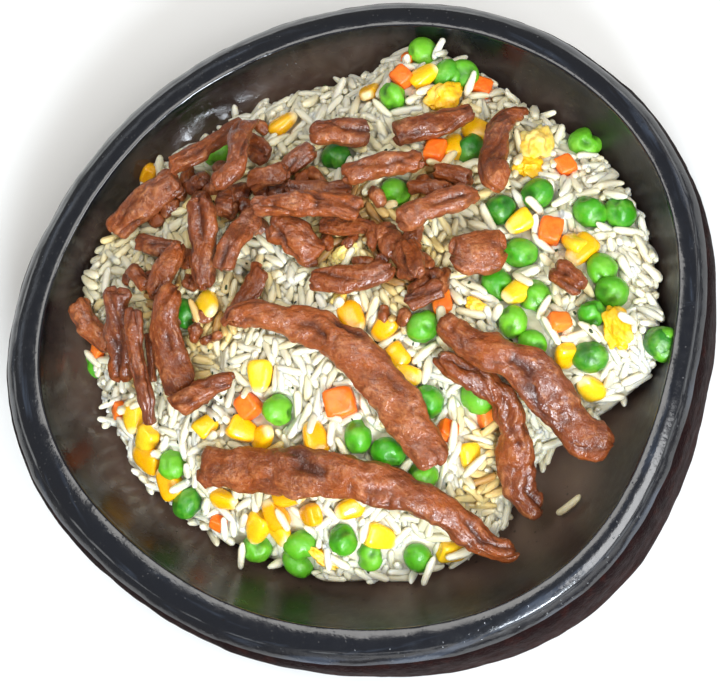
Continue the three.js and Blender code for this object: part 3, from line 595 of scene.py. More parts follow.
class Paint(Nodes):
    """A material and short ways to lay colour and relief on it."""

    def __init__(self, name):
        self.material = bpy.data.materials.new(name)
        self.material.use_nodes = True
        super().__init__(self.material.node_tree)
        self.surface = self.tree.nodes["Principled BSDF"]
        self.place = self.node("TexCoord").outputs["Object"]

    def set(self, **sockets):
        for key, value in sockets.items():
            self.put(self.surface.inputs[key.replace("_", " ")], value)
        return self.material

    def stretched(self, vector, scale):
        return self.node("Mapping", {"Vector": vector, "Scale": scale}).outputs["Vector"]

    def noise(self, scale, detail=2.0, roughness=0.55, vector=None):
        return self.node("TexNoise", {"Vector": vector or self.place, "Scale": scale, "Detail": detail,
                                      "Roughness": roughness}).outputs["Fac"]

    def cells(self, scale):
        return self.node("TexVoronoi", {"Vector": self.place, "Scale": scale}).outputs["Distance"]

    def value(self, name):
        return self.node("Attribute", attribute_name=name).outputs["Fac"]

    def vector(self, name):
        return self.node("Attribute", attribute_name=name).outputs["Vector"]

    def mix(self, factor, first, second, blend="MIX"):
        inputs = {0: factor, 6: first, 7: second}
        return self.node("Mix", inputs, data_type="RGBA", blend_type=blend).outputs[2]

    def over(self, colour, code, value, low, high, most=1.0):
        """The colour with another laid over it as the value runs from low to high."""
        return self.mix(self.span(value, low, high, 0, most), colour, code)

    def ramp(self, factor, stops):
        node = self.node("ValToRGB", {"Fac": factor})
        band = node.color_ramp
        while len(band.elements) < len(stops):
            band.elements.new(0.5)
        for element, (position, code) in zip(band.elements, stops):
            element.position = position
            element.color = srgb(code)
        return node.outputs["Color"]

    def bump(self, height, strength, distance):
        inputs = {"Height": height, "Strength": strength, "Distance": distance}
        return self.node("Bump", inputs).outputs["Normal"]

    def food(self, colour, rough, relief, soft, coat, coat_relief=False):
        """Sets what foods share: roughness (scale, low, high), relief (scale, detail, strength, depth), light
        that spreads under the skin (weight, radius) and a moist coat (weight, roughness)."""
        scale, low, high = rough
        skin = self.bump(self.noise(*relief[:2]), *relief[2:])
        if coat_relief:
            self.set(Coat_Normal=skin)
        return self.set(
            Base_Color=colour, Roughness=self.span(self.noise(scale, 2), 0.3, 0.7, low, high), Normal=skin,
            Subsurface_Weight=soft[0], Subsurface_Radius=soft[1], Subsurface_Scale=1.0,
            Coat_Weight=coat[0], Coat_Roughness=coat[1])


def glaze_paint():
    """Satin brown inside and a glossy blue-black lip, with painted shadow as a near-black line in the step
    just inside the lip and painted shade on one side of the inside; band runs 0 to 4 from foot to middle.
    """
    paint = Paint("glaze")
    band = paint.value("band")
    satin_and_painted_shade_side = paint.value("satin_and_painted_shade_side")
    wander = paint.span(paint.noise(70, 3), 0, 1, -0.12, 0.12)
    # The inside is painted darker on one side, as shade
    step = paint.math("SUBTRACT", paint.plus(band, wander), paint.times(satin_and_painted_shade_side, 0.2))
    # The near-black stop at 0.53 is painted shadow: a dark line in the step just inside the lip
    colour = paint.ramp(paint.times(step, 0.25), [
        (0.3, "0d0708"), (0.38, "0d0f15"), (0.5, "10131a"), (0.53, "060608"), (0.56, "241c1a"),
        (0.62, "56443b"), (0.7, "69554a"), (1.0, "705c51"),
    ])
    streaks = paint.noise(1.0, 4, 0.6, paint.stretched(paint.vector("sweep"), (26, 260, 160)))
    on_lip = paint.times(paint.span(band, 1.05, 1.3), paint.span(band, 2.0, 1.8))
    colour = paint.mix(paint.times(paint.span(streaks, 0.54, 0.72), on_lip, 0.45), colour, "4a5464")
    inside = paint.span(band, 2.2, 2.6)
    mottle = paint.span(paint.noise(45, 4, 0.6), 0.42, 0.68)
    colour = paint.mix(paint.times(mottle, inside, 0.35), colour, "5e4f3e")
    cloud = paint.span(paint.noise(18, 2), 0.45, 0.7)
    colour = paint.mix(paint.times(cloud, inside, 0.35), colour, "785e56")
    sparse = paint.span(paint.noise(120, 1), 0.55, 0.62)
    specks = paint.times(paint.span(paint.cells(330), 0.16, 0.09), sparse, 0.75)
    colour = paint.mix(specks, colour, "120c0b")
    sparse = paint.span(paint.noise(180, 1), 0.45, 0.55)
    pits = paint.times(paint.span(paint.cells(620), 0.16, 0.05), sparse)
    relief = paint.plus(paint.times(pits, -0.9), paint.times(paint.noise(900, 2), 0.25),
                        paint.times(paint.noise(160, 3), 0.3))
    uneven = paint.span(paint.noise(300, 3), 0.3, 0.7, 0.1, 0.22)
    rough = paint.plus(uneven, paint.span(band, 2.05, 2.3, 0, 0.03), paint.times(satin_and_painted_shade_side, 0.22),
                       paint.span(band, 1.35, 1.05, 0, 0.3))
    return paint.set(Base_Color=colour, Roughness=rough, Normal=paint.bump(relief, 0.3, 0.0006),
                     Specular_IOR_Level=0.75)


def clay_paint():
    """Matt maroon-brown outside of the dish, below the lip."""
    paint = Paint("clay")
    colour = paint.ramp(paint.value("band"), [(0.0, "160503"), (0.6, "200704"), (1.0, "140505")])
    colour = paint.over(colour, "0c0405", paint.noise(90, 4, 0.6), 0.42, 0.66, 0.6)
    colour = paint.over(colour, "2c0e08", paint.noise(260, 3), 0.52, 0.7, 0.5)
    relief = paint.plus(paint.times(paint.noise(260, 4, 0.6), 0.7), paint.noise(1100, 2))
    return paint.set(Base_Color=colour, Roughness=paint.span(paint.noise(300, 3), 0.3, 0.7, 0.62, 0.85),
                     Normal=paint.bump(relief, 0.6, 0.0008), Specular_IOR_Level=0.06)


def beef_paint():
    """Moist browned meat: painted shade in the folds, painted highlights on the ridges, orange-brown patches
    and fibres along the strip.
    """
    paint = Paint("beef")
    base = paint.mix(paint.value("tone"), "5e270c", "96512a")
    base = paint.over(base, "9c4c14", paint.noise(70, 3, 0.6), 0.44, 0.62, 0.5)
    base = paint.over(base, "56230e", paint.noise(170, 4, 0.65), 0.5, 0.66, 0.42)
    fine = paint.noise(1.0, 4, 0.65, paint.stretched(paint.vector("fibre"), (1300, 380, 1)))
    mottle = paint.noise(620, 3, 0.6)
    # Painted highlight: the swelling ridges are painted pale
    pale = paint.times(paint.span(paint.value("painted_ridge_highlight"), 0.48, 0.8), paint.span(mottle, 0.4, 0.6), 0.55)
    base = paint.mix(pale, base, "be7c4e")
    base = paint.over(base, "b97846", fine, 0.54, 0.7, 0.45)
    base = paint.over(base, "5e260e", fine, 0.47, 0.32, 0.5)
    # Painted shade: folds and hollows are painted dark brown
    base = paint.over(base, "3c1607", paint.value("crease"), 0.25, 0.95, 0.85)
    relief = paint.plus(paint.times(fine, 0.8), mottle, paint.times(paint.noise(1500, 2), 0.45))
    beaded = paint.plus(mottle, paint.times(paint.noise(1300, 2), 0.35))
    return paint.set(
        Base_Color=base, Roughness=paint.span(paint.noise(420, 2), 0.35, 0.65, 0.38, 0.6),
        Normal=paint.bump(relief, 0.8, 0.0007), Coat_Normal=paint.bump(beaded, 0.75, 0.0006),
        Coat_Weight=paint.span(paint.noise(160, 2), 0.38, 0.62, 0.22, 0.9), Coat_IOR=1.65,
        Coat_Roughness=0.17, Specular_IOR_Level=0.12, Subsurface_Weight=0.12,
        Subsurface_Radius=(0.0015, 0.0006, 0.0004), Subsurface_Scale=1.0)


def rice_paint(name, shade=1.0):
    """Cooked rice: white and a little translucent, yellow-brown where the sauce has reached; the darkest
    browns of the tone also serve as painted shade in the gaps among the beef, and a shade below 1 paints the
    whole rice darker, as shade.
    """
    paint = Paint(name)
    colour = paint.ramp(paint.value("tone"), [
        (0.0, "eae6d7"), (0.3, "e5dcbc"), (0.55, "d9bf80"), (0.78, "ae8446"), (1.0, "6d4722")])
    colour = paint.mix(paint.span(paint.noise(380, 2), 0.45, 0.75, 0, 0.3), colour, "d3cdb4", "MULTIPLY")
    # Painted shade: a copy of the rice painted darker
    if shade < 1:
        colour = paint.mix(1 - shade, colour, "3f3423")
    return paint.food(colour, (600, 0.3, 0.5), (1400, 2, 0.25, 0.0003),
                      (0.7, (0.0026, 0.0022, 0.0016)), (0.1, 0.25))


def pea_paint():
    paint = Paint("pea")
    colour = paint.ramp(paint.value("tone"), [(0.0, "1c7008"), (0.45, "38940a"), (1.0, "6ab41e")])
    colour = paint.over(colour, "8cc544", paint.noise(220, 3), 0.45, 0.68, 0.4)
    # Painted shade: the dents are painted darker green
    colour = paint.over(colour, "145208", paint.value("crease"), 0.15, 1.0, 0.8)
    return paint.food(colour, (500, 0.34, 0.52), (700, 3, 0.5, 0.0005),
                      (0.3, (0.0012, 0.002, 0.0003)), (0.3, 0.24), coat_relief=True)


def corn_paint():
    paint = Paint("corn")
    colour = paint.ramp(paint.value("tone"), [(0.0, "eca600"), (0.5, "f6bb08"), (1.0, "facd26")])
    colour = paint.over(colour, "f3e6b4", paint.value("tip"), 0.1, 1.0, 0.8)
    colour = paint.over(colour, "e79b12", paint.noise(240, 2), 0.5, 0.75, 0.4)
    return paint.food(colour, (500, 0.2, 0.38), (800, 2, 0.25, 0.0004),
                      (0.3, (0.0025, 0.0016, 0.0004)), (0.35, 0.15))


def carrot_paint():
    paint = Paint("carrot")
    colour = paint.over("f45c00", "fb7c18", paint.noise(300, 3), 0.35, 0.7)
    colour = paint.mix(paint.value("tone"), colour, "f98e30")
    return paint.food(colour, (700, 0.3, 0.5), (1100, 3, 0.4, 0.0004),
                      (0.3, (0.003, 0.001, 0.0003)), (0.2, 0.2))


def egg_paint():
    paint = Paint("egg")
    pale = paint.plus(paint.noise(200, 3), paint.value("tip"))
    colour = paint.over("f5b808", "fbe68e", pale, 0.5, 0.8)
    return paint.food(colour, (500, 0.35, 0.55), (700, 3, 0.5, 0.0006),
                      (0.3, (0.003, 0.002, 0.0006)), (0.15, 0.3))


def speck_paint():
    paint = Paint("speck")
    return paint.set(Base_Color=paint.over("17180c", "2c4012", paint.noise(300, 1), 0.4, 0.6), Roughness=0.6)


# Dish
def catmull(corners, part):
    before, first, second, after = corners
    return 0.5 * (2 * first + (second - before) * part
                  + (2 * before - 5 * first + 4 * second - after) * part ** 2
                  + (3 * first - before - 3 * second + after) * part ** 3)


def wall_swell(angle, run):
    """One place where the inner wall stands a little proud, as a hand-made wall does."""
    place, spread, depth, reach, height = WALL_SWELL
    turn = angle - radians(place)
    away = np.degrees(np.arctan2(np.sin(turn), np.cos(turn))) / spread
    return height * np.exp(-away ** 4) * exp(-((run - depth) / reach) ** 2)


def dish_rings(angle):
    """Radius, height and band of each ring from the foot, over the lip, to near the middle of the floor."""
    outline = outline_radius(angle)
    width = lip_width(angle)
    rings = []
    for part in np.linspace(0.15, 1, 8)[:-1]:
        rings.append(((outline - OUTER_WALL[0][0]) * part, 0, 0.0))
    wall = smooth_path(OUTER_WALL, 4)
    for k, (inset, height) in enumerate(wall):
        rings.append((outline - inset, height, k / len(wall)))
    for part in np.linspace(0, 1, 26):
        inward = 1 - cos(part * pi / 2)
        drop = LIP_DROP * (1 - sin(part * pi / 2))
        rings.append((outline - width * inward, DISH_HEIGHT - drop, 1 + part))
    for k, (run, drop) in enumerate(LIP_STEP):
        rings.append((outline - width - run, DISH_HEIGHT - drop, 2 + 0.03 * (k + 1)))
    for run in np.concatenate([np.linspace(0.9, 8, 14), np.linspace(8.8, BOWL_RUN, 26)]):
        depth = bowl_height(run) + wall_swell(angle, run)
        rings.append((outline - width - LIP_STEP_IN - run, depth, 2.2 + 0.8 * run / BOWL_RUN))
    floor = outline - width - LIP_STEP_IN - BOWL_RUN
    for part in np.linspace(1, 0.08, 12)[1:]:
        rings.append((floor * part, FLOOR_HEIGHT, 4 - part))
    return rings


def make_dish(glaze, clay):
    angle = circle(DISH_SEGMENTS)
    rings = dish_rings(angle)
    points = []
    bands = []
    sweeps = []
    for radius, height, band in rings:
        x, y = from_polar(angle, radius)
        height = 0 * angle + height
        ring = stacked(x, y, height)
        around = stacked(np.cos(angle) * 100, np.sin(angle) * 100, 0 * angle + band * 10)
        raised = 0.3 * noise(around, 16, 2) + 0.14 * noise(around, 5, 3)
        if 0 < band < 1.6:
            rough = 0.3 + 0.28 * noise(ring, 9, 7) + 0.16 * noise(ring, 3.2, 8)
            inward = np.clip(rough, 0, None) * min(1, band * 5)
            ring[:, 0] -= np.cos(angle) * inward
            ring[:, 1] -= np.sin(angle) * inward
        if band >= 1:
            ring[:, 2] += (raised - GLAZE_DROP) * min(1, band - 1)
        points.append(ring)
        bands.append(np.full(len(angle), float(band)))
        sweeps.append(stacked(angle * 100 * MM, radius * MM, height * MM))
    middle = -OUTLINE_MIDDLE
    points.append(np.array([[middle[0], middle[1], 0.0], [middle[0], middle[1], FLOOR_HEIGHT - GLAZE_DROP]]))
    bands.append(np.array([0.0, 4.0]))
    sweeps.append(np.zeros((2, 3)))
    bands = np.concatenate(bands)
    around = np.append(np.tile(angle, len(rings)), [0, 0])
    # Painted shade on one side of the inside, which is also more satin there
    satin_and_painted_shade_side = np.clip(0.5 + np.cos(around - radians(SATIN_AND_PAINTED_SHADE_SIDE)), 0, 1) * np.clip((bands - 2.03) * 8, 0, 1)
    faces = ring_faces(len(rings), DISH_SEGMENTS)
    mesh = make_mesh("dish_glazed", np.concatenate(points), faces, {"band": bands, "satin_and_painted_shade_side": satin_and_painted_shade_side},
                     {"sweep": np.concatenate(sweeps)})
    mesh.materials.append(glaze)
    mesh.materials.append(clay)
    mesh.polygons.foreach_set("material_index", [int(bands[list(face)].max() < GLAZE_LINE) for face in faces])
    add_piece("dish_glazed", mesh, None, "glaze", ["dish"])


# Beef strips
def node_tree(names):
    """Search tree over the named CAD nodes, in mm."""
    points = []
    faces = []
    for name in names:
        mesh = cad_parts[name].data
        start = len(points)
        points += [tuple(vertex.co / MM) for vertex in mesh.vertices]
        faces += [tuple(start + i for i in polygon.vertices) for polygon in mesh.polygons]
    return BVHTree.FromPolygons(points, faces)


def resampled(points, step):
    lengths = np.concatenate([[0], np.cumsum(norm(np.diff(points, axis=0), axis=1))])
    count = max(2, int(round(lengths[-1] / step)) + 1)
    along = np.linspace(0, lengths[-1], count)
    return stacked(*(np.interp(along, lengths, column) for column in points.T))


def smoothed(values, reach):
    """Running mean along the first axis, taken twice, with the ends held."""
    result = np.array(values, dtype=float)
    for _ in range(2):
        padded = np.concatenate([np.repeat(result[:1], reach, 0), result, np.repeat(result[-1:], reach, 0)])
        total = np.cumsum(np.concatenate([np.zeros_like(padded[:1]), padded]), axis=0)
        result = (total[2 * reach + 1:] - total[:-2 * reach - 1]) / (2 * reach + 1)
    return result


def smooth_path(corners, per_leg):
    """Points on a smooth curve through the corners, without the last corner."""
    corners = np.array(corners, dtype=float)
    padded = np.vstack([2 * corners[0] - corners[1], corners, 2 * corners[-1] - corners[-2]])
    legs = range(len(corners) - 1)
    return [catmull(padded[leg:leg + 4], step / per_leg) for leg in legs for step in range(per_leg)]


def reach_to_skin(tree, start, direction):
    hit = tree.ray_cast(Vector(start), Vector(direction))
    return hit[3] if hit[0] is not None else np.nan


def strip_middle_line(tree, path):
    """Points along the inside of the CAD strip, from tip to tip."""
    middles = []
    for place in smooth_path(path, 10) + [path[-1]]:
        direction = Vector(sight(place))
        first = tree.ray_cast(Vector(VIEW_START), direction)
        if first[0] is None:
            continue
        second = tree.ray_cast(first[0] + direction * 0.02, direction)
        if second[0] is not None and second[3] > 1.2:
            middles.append((np.array(first[0]) + np.array(second[0])) / 2)
    line = resampled(np.array(middles), STRIP_STEP)
    line = smoothed(line, 3)
    look = min(5, len(line) - 1)
    for end, inner in ((0, look), (-1, -1 - look)):
        outward = unit(line[end] - line[inner])
        reach = reach_to_skin(tree, line[end], outward)
        tip = line[end] + outward * (reach if reach == reach else 1) * 0.96
        line = np.vstack([tip, line]) if end == 0 else np.vstack([line, tip])
    return resampled(line, STRIP_STEP)


def filled(values):
    good = np.isfinite(values)
    return np.interp(np.arange(len(values)), np.flatnonzero(good), values[good])


def strip_sections(tree, line):
    """Middle, side, upright and half sizes of the CAD strip at each point of its line."""
    ahead = each_unit(smoothed(np.gradient(line, axis=0), 3))
    side = each_unit(stacked(-ahead[:, 1], ahead[:, 0], 0 * ahead[:, 0]))
    upright = np.cross(ahead, side)
    reaches = {}
    for key, directions in (("left", side), ("right", -side), ("up", upright), ("down", -upright)):
        reaches[key] = filled(np.array([reach_to_skin(tree, p, d) for p, d in zip(line, directions)]))
    half_wide = (reaches["left"] + reaches["right"]) / 2
    half_thick = (reaches["up"] + reaches["down"]) / 2
    middle = line + side * ((reaches["left"] - reaches["right"]) / 2)[:, None]
    middle = middle + upright * ((reaches["up"] - reaches["down"]) / 2)[:, None]
    return middle, side, upright, half_wide, half_thick


def steady(values, away, size):
    """Half sizes with the CAD's rounded ends left out, as they are rounded anew."""
    inner = away > size
    if inner.sum() < 2:
        return np.full_like(values, values.max())
    kept = np.interp(np.arange(len(values)), np.flatnonzero(inner), values[inner])
    return smoothed(kept, 5)


def rolled_out(turn, stops, ring_size, seed):
    """The strip's skin wound slowly about its length: the angle, and points for noise along the fibres."""
    twist = (0.04 + 0.05 * sin(seed * 2.3)) * (1 if seed % 2 else -1)
    wound = turn[None, :] + twist * stops[:, None]
    return wound, stacked(np.cos(wound) * ring_size, np.sin(wound) * ring_size, 0 * wound + stops[:, None])


def meat_relief(surface, rolled, turn, run, seed):
    """How far the meat swells or sinks at each point in mm, and how deep in a fold or hollow it lies from 0
    to 1, which is painted as shade.
    """
    lump = noise(surface, 6.5, seed + 120)
    knob = noise(surface, 3.0, seed + 160)
    bead = noise(surface, 1.5, seed + 180)
    grain = noise(surface, 0.8, seed + 200)
    wrinkle = noise(rolled * np.array([0.35, 0.35, 1]), 1.5, seed + 80)
    bundles = noise(rolled * np.array([1, 1, 0.3]), 1.6, seed)
    strands = noise(rolled * np.array([1, 1, 0.3]), 0.75, seed + 40)
    furrowed = np.clip(0.5 + 1.3 * noise(surface, 8, seed + 240), 0.15, 1)
    wrinkled = np.clip(0.35 + 1.5 * noise(surface, 9, seed + 280), 0, 1)
    fold = np.zeros_like(lump)
    for k, side in enumerate((0.35, 0.65)):
        place = pi * side + 0.9 * noise(run, 13, seed + 500 + k)
        away = turn[None, :] - place[:, None]
        depth = np.clip(0.15 + 1.5 * noise(run, 9, seed + 540 + k), 0, 1)
        fold += np.exp(-(away / 0.26) ** 2) * depth[:, None]
    groove = np.clip(0.3 - np.abs(bundles), 0, 1) / 0.3 * furrowed
    swell = (-0.05 + 0.55 * lump + 0.36 * knob + 0.24 * bead - 0.8 * np.clip(fold, 0, 1.2) - 0.3 * groove
             + 0.16 * strands + 0.3 * wrinkle * wrinkled + 0.1 * grain)
    hollows = (0.2 * np.clip(-lump - 0.1, 0, 1) + 0.4 * np.clip(-knob, 0, 1) + 0.35 * np.clip(-bead, 0, 1)
               + 0.35 * np.clip(-wrinkle, 0, 1) * wrinkled)
    # How dark the folds and hollows are painted, as shade
    crease = np.clip(0.6 * fold + 0.35 * groove + hollows, 0, 1)
    return swell, crease


def make_strip(name, path, tone, seed, material):
    tree = node_tree([name])
    line = strip_middle_line(tree, path)
    middle, side, upright, half_wide, half_thick = strip_sections(tree, line)
    along = np.concatenate([[0], np.cumsum(norm(np.diff(line, axis=0), axis=1))])
    length = along[-1]
    away = np.minimum(along, length - along)
    size = float(np.median(half_wide))
    wide = steady(half_wide, away, size * 1.1)
    thick = steady(half_thick, away, size * 1.1)
    middle = smoothed(middle, 3)

    end_steps = np.array([0.02, 0.07, 0.15, 0.26, 0.4, 0.56, 0.75]) * size * STRIP_END_REACH
    inner = np.arange(size * STRIP_END_REACH, length - size * STRIP_END_REACH, STRIP_STEP)
    stops = np.concatenate([end_steps, inner, length - end_steps[::-1]])
    turn = circle(STRIP_SIDES)
    power = 2 / STRIP_SQUARENESS
    across = np.sign(np.cos(turn)) * np.abs(np.cos(turn)) ** power
    raised = np.sign(np.sin(turn)) * np.abs(np.sin(turn)) ** power

    def at(values):
        if values.ndim == 1:
            return np.interp(stops, along, values)
        return stacked(*(np.interp(stops, along, column) for column in values.T))

    centre, sideways, upward, w, t = at(middle), at(side), at(upright), at(wide), at(thick)
    ahead = np.cross(sideways, upward)
    from_end = np.clip(np.minimum(stops, length - stops) / (size * STRIP_END_REACH), 0, 1)
    close = (1 - (1 - from_end) ** 2.4) ** (1 / 2.4)
    run = stacked(stops, 0 * stops, 0 * stops)
    narrow = 1 + 0.15 * noise(run, 8, seed + 400) + 0.08 * noise(run, 3.5, seed + 440)
    w = w * close * narrow
    t = t * close * (2 - narrow) ** 0.5
    outward = (sideways[:, None, :] * (across[None, :] * w[:, None])[..., None]
               + upward[:, None, :] * (raised[None, :] * t[:, None])[..., None])
    surface = centre[:, None, :] + outward
    room = norm(outward, axis=-1)
    direction = outward / np.maximum(room, 1e-6)[..., None]

    ring_size = float(np.median(w + t)) / 2
    wound, rolled = rolled_out(turn, stops, ring_size, seed)
    swell, crease = meat_relief(surface, rolled, turn, run, seed)
    ragged = np.clip(1 - from_end, 0, 1)[:, None] * (0.2 + 0.9 * np.abs(noise(rolled, 2.0, seed + 320)))
    swell = (swell - ragged) * np.minimum(1, w / 3.2)[:, None]
    swell = np.clip(swell, -0.5 * room, STRIP_SWELL_LIMIT)
    surface = surface + direction * swell[..., None]
    rim = noise(stacked(across * 2, raised * 2, 0 * turn), 1.3, seed + 360)
    uneven = size * STRIP_END_REACH * (0.35 + 0.5 * rim)
    pulled = np.clip(uneven, 0, size * 0.6)[None, :] * (1 - from_end)[:, None]
    toward = np.where(stops < length / 2, 1, -1)[:, None, None] * ahead[:, None, :]
    surface = surface + toward * pulled[..., None]
    surface[..., 2] = np.minimum(surface[..., 2], cad_box[1][2] / MM - 0.15)

    fibre = stacked(wound * ring_size * MM, 0 * wound + stops[:, None] * MM, 0 * wound + seed * 0.01)
    points = np.vstack([surface.reshape(-1, 3), surface[0].mean(axis=0), surface[-1].mean(axis=0)])
    # Painted highlight on the ridges and painted shade in the hollows, as point values; the two end points
    # take fixed amounts
    painted_ridge_highlight = np.clip(0.5 + 0.6 * swell, 0, 1)
    mesh = make_mesh(
        name + "_meat", points, ring_faces(len(stops), STRIP_SIDES),
        {"crease": np.append(crease.ravel(), [0.6, 0.6]), "painted_ridge_highlight": np.append(painted_ridge_highlight.ravel(), [0.3, 0.3]),
         "tone": np.full(len(points), tone)},
        {"fibre": np.vstack([fibre.reshape(-1, 3), fibre[0, 0], fibre[-1, 0]])},
    )
    add_piece(name + "_meat", mesh, material, "beef", [name])


def make_crumbs(material):
    """Small torn lumps of the same meat, lying in the gaps."""
    points, faces = ball(30, 22)
    joined = Joined()
    own_random = np.random.default_rng(35)
    for i, (x, y, half) in enumerate(CRUMBS + CLUSTER_CRUMBS):
        chance = random if i < len(CRUMBS) else own_random
        size = np.array([half, half * chance.uniform(0.55, 0.8), half * chance.uniform(0.45, 0.6)])
        skin = points * size
        lump = noise(skin, 3.4, 700 + i)
        knob = noise(skin, 1.7, 740 + i)
        bead = noise(skin, 0.9, 780 + i)
        swell = 0.9 * lump + 0.5 * knob + 0.2 * bead
        skin = skin + points * swell[:, None]
        middle = on_surface((x, y), food_height, half * 0.35)
        spin = chance.uniform(0, 6.28)
        lean = chance.uniform(-0.4, 0.4)
        body = turned(skin, heap_normal(middle[0], middle[1]), spin, lean) + middle
        # Painted shade in the hollows of each lump, and painted highlight on its swells
        hollows = np.clip(-lump, 0, 1) * 0.8 + np.clip(-knob, 0, 1) * 0.7 + np.clip(-bead, 0, 1) * 0.3
        joined.add(body, faces, crease=np.clip(hollows, 0, 1), painted_ridge_highlight=np.clip(0.5 + 0.5 * swell, 0, 1),
                   tone=chance.uniform(0.1, 0.6))
    mesh = joined.mesh("beef_crumbs")
    fibre = mesh.attributes.new("fibre", "FLOAT_VECTOR", "POINT")
    fibre.data.foreach_set("vector", (np.concatenate(joined.points) * MM).astype(np.float32).ravel())
    add_piece("beef_crumbs", mesh, material, "beef", [])


# Pieces in the rice
def is_inside(tree, point):
    """Whether the first face above the point is one that is left through."""
    hit = tree.ray_cast(Vector(point), Vector((0, 0, 1)))
    return hit[0] is not None and hit[1].z > 0


def settle(point, reach, tree):
    """Moves a round piece out of the beef, never upwards; nothing where it would have to go too far."""
    start = np.array(point)
    place = np.array(point)
    for _ in range(8):
        near, normal, _, distance = tree.find_nearest(Vector(place))
        inside = is_inside(tree, place)
        need = reach + (distance if inside else -distance)
        if need <= 0.05:
            return place if norm(place - start) <= SETTLE_LIMIT else None
        away = np.array(normal) if inside or distance < 1e-6 else (place - np.array(near)) / distance
        away[2] = min(away[2], -0.25)
        place = place + unit(away) * (need + 0.1)
    return None


def pea_shape(radius, seed):
    points, faces = ball(22, 15)
    shape = points * np.array([1.04, 0.95 - 0.08 * cos(seed * 1.9), 0.84 + 0.1 * sin(seed)])
    dent = np.clip(noise(points, 0.62, seed) - 0.05, 0, 1)
    wrinkle = noise(points, 0.3, seed + 9)
    deep = 0.8 if seed % 3 == 0 else 0.25
    factor = 1 - 0.22 * dent * (1 + deep) + 0.035 * wrinkle * (0.4 + deep)
    # The dents are returned as well, to be painted darker as shade
    return shape * factor[:, None] * radius, faces, np.clip(dent * 1.2, 0, 1)


def corn_shape(size, seed):
    points, faces = ball(18, 15)
    shape = np.sign(points) * np.abs(points) ** 0.66
    narrow = 0.94 - 0.36 * (0.5 - 0.5 * shape[:, 2]) ** 1.4
    dimple = np.clip(points[:, 2] - 0.7, 0, 1) * np.exp(-(points[:, 0] ** 2 + points[:, 1] ** 2) * 6)
    long = shape[:, 2] - dimple * 0.6
    uneven = 1 + 0.07 * noise(points, 0.7, seed)
    body = stacked(long * size[0], shape[:, 0] * size[1] * narrow, shape[:, 1] * size[2] * narrow)
    tip = np.clip((-points[:, 2] - 0.45) * 2.4, 0, 1)
    return body * uneven[:, None], faces, tip


def dice_shape(size, seed):
    points, faces = ball(26, 18)
    reach = np.max(np.abs(points), axis=1, keepdims=True)
    boxy = points / reach
    soft = points / norm(points, axis=1, keepdims=True)
    shape = boxy * 0.8 + soft * 0.27
    lopsided = np.array([1, 0.86 + 0.1 * sin(seed * 1.3), 0.78 + 0.12 * cos(seed * 2.1)])
    skew = 1 + 0.1 * points[:, 0] * sin(seed)
    uneven = 1 + 0.04 * noise(points, 0.5, seed) + 0.02 * noise(points, 0.2, seed + 3)
    return shape * lopsided * (uneven * skew)[:, None] * size / 2, faces


def egg_shape(size, seed):
    points, faces = ball(48, 34)
    swell = 1 + 0.34 * noise(points, 0.75, seed) + 0.26 * noise(points, 0.36, seed + 1)
    swell = swell + 0.1 * noise(points, 0.16, seed + 2)
    return points * np.array(size) * swell[:, None] * 0.95, faces


def make_pieces(materials, beef_tree):
    """Peas, corn, carrot and egg; returns round stand-ins (middle, reach) that the rice keeps clear of."""
    taken = []
    kinds = {"peas": Joined(), "corn": Joined(), "carrot": Joined(), "egg": Joined()}

    def lay(place, reach, lift):
        return settle(on_surface(place, food_height, lift), reach, beef_tree)

    def stand(kind, spot, shape, faces, spin, lean, reach, **values):
        body = turned(shape, heap_normal(spot[0], spot[1]), spin, lean) + spot
        kinds[kind].add(body, faces, **values)
        taken.append((spot, reach))

    for i, (place, size) in enumerate(EGGS):
        spot = lay(place, size[1] * 0.7, between(-0.2, 0.8))
        if spot is not None:
            shape, faces = egg_shape(size, 300 + i)
            stand("egg", spot, shape, faces, between(0, 6.28), 0.15, size[1] * 0.95, tip=0.18 * (i % 3 == 1))
    for i, (x, y, scale) in enumerate(CARROTS):
        size = CARROT_SIZE * scale
        spot = lay((x, y), size * 0.5, between(-0.8, 0.6))
        if spot is not None:
            shape, faces = dice_shape(size, 60 + i)
            stand("carrot", spot, shape, faces, between(0, 6.28), between(-0.5, 0.5), size * 0.5,
                  tone=between(0, 0.5))
    for i, place in enumerate(PEAS):
        radius = PEA_RADIUS * between(0.92, 1.07)
        spot = lay(place, radius * 0.92, between(-1.2, 0.7))
        if spot is not None:
            shape, faces, crease = pea_shape(radius, 11 + i)
            stand("peas", spot, shape, faces, between(0, 6.28), between(-1.5, 1.5), radius,
                  tone=between(0.0, 1.0), crease=crease)
    for i, place in enumerate(CORN):
        spot = lay(place, 3.1, between(-0.6, 0.9))
        if spot is not None:
            scale = between(0.88, 1.12)
            shape, faces, tip = corn_shape([part * scale for part in CORN_SIZE], 90 + i)
            stand("corn", spot, shape, faces, between(0, 6.28), between(-0.7, 0.7), 3.6 * scale,
                  tone=between(0, 1), tip=tip)
    slots = {"peas": "pea", "corn": "corn", "carrot": "carrot", "egg": "egg"}
    for name, kind in kinds.items():
        slot = slots[name]
        name = "rice_" + name
        add_piece(name, kind.mesh(name), materials[slot], slot, ["rice_heap"])
    return taken


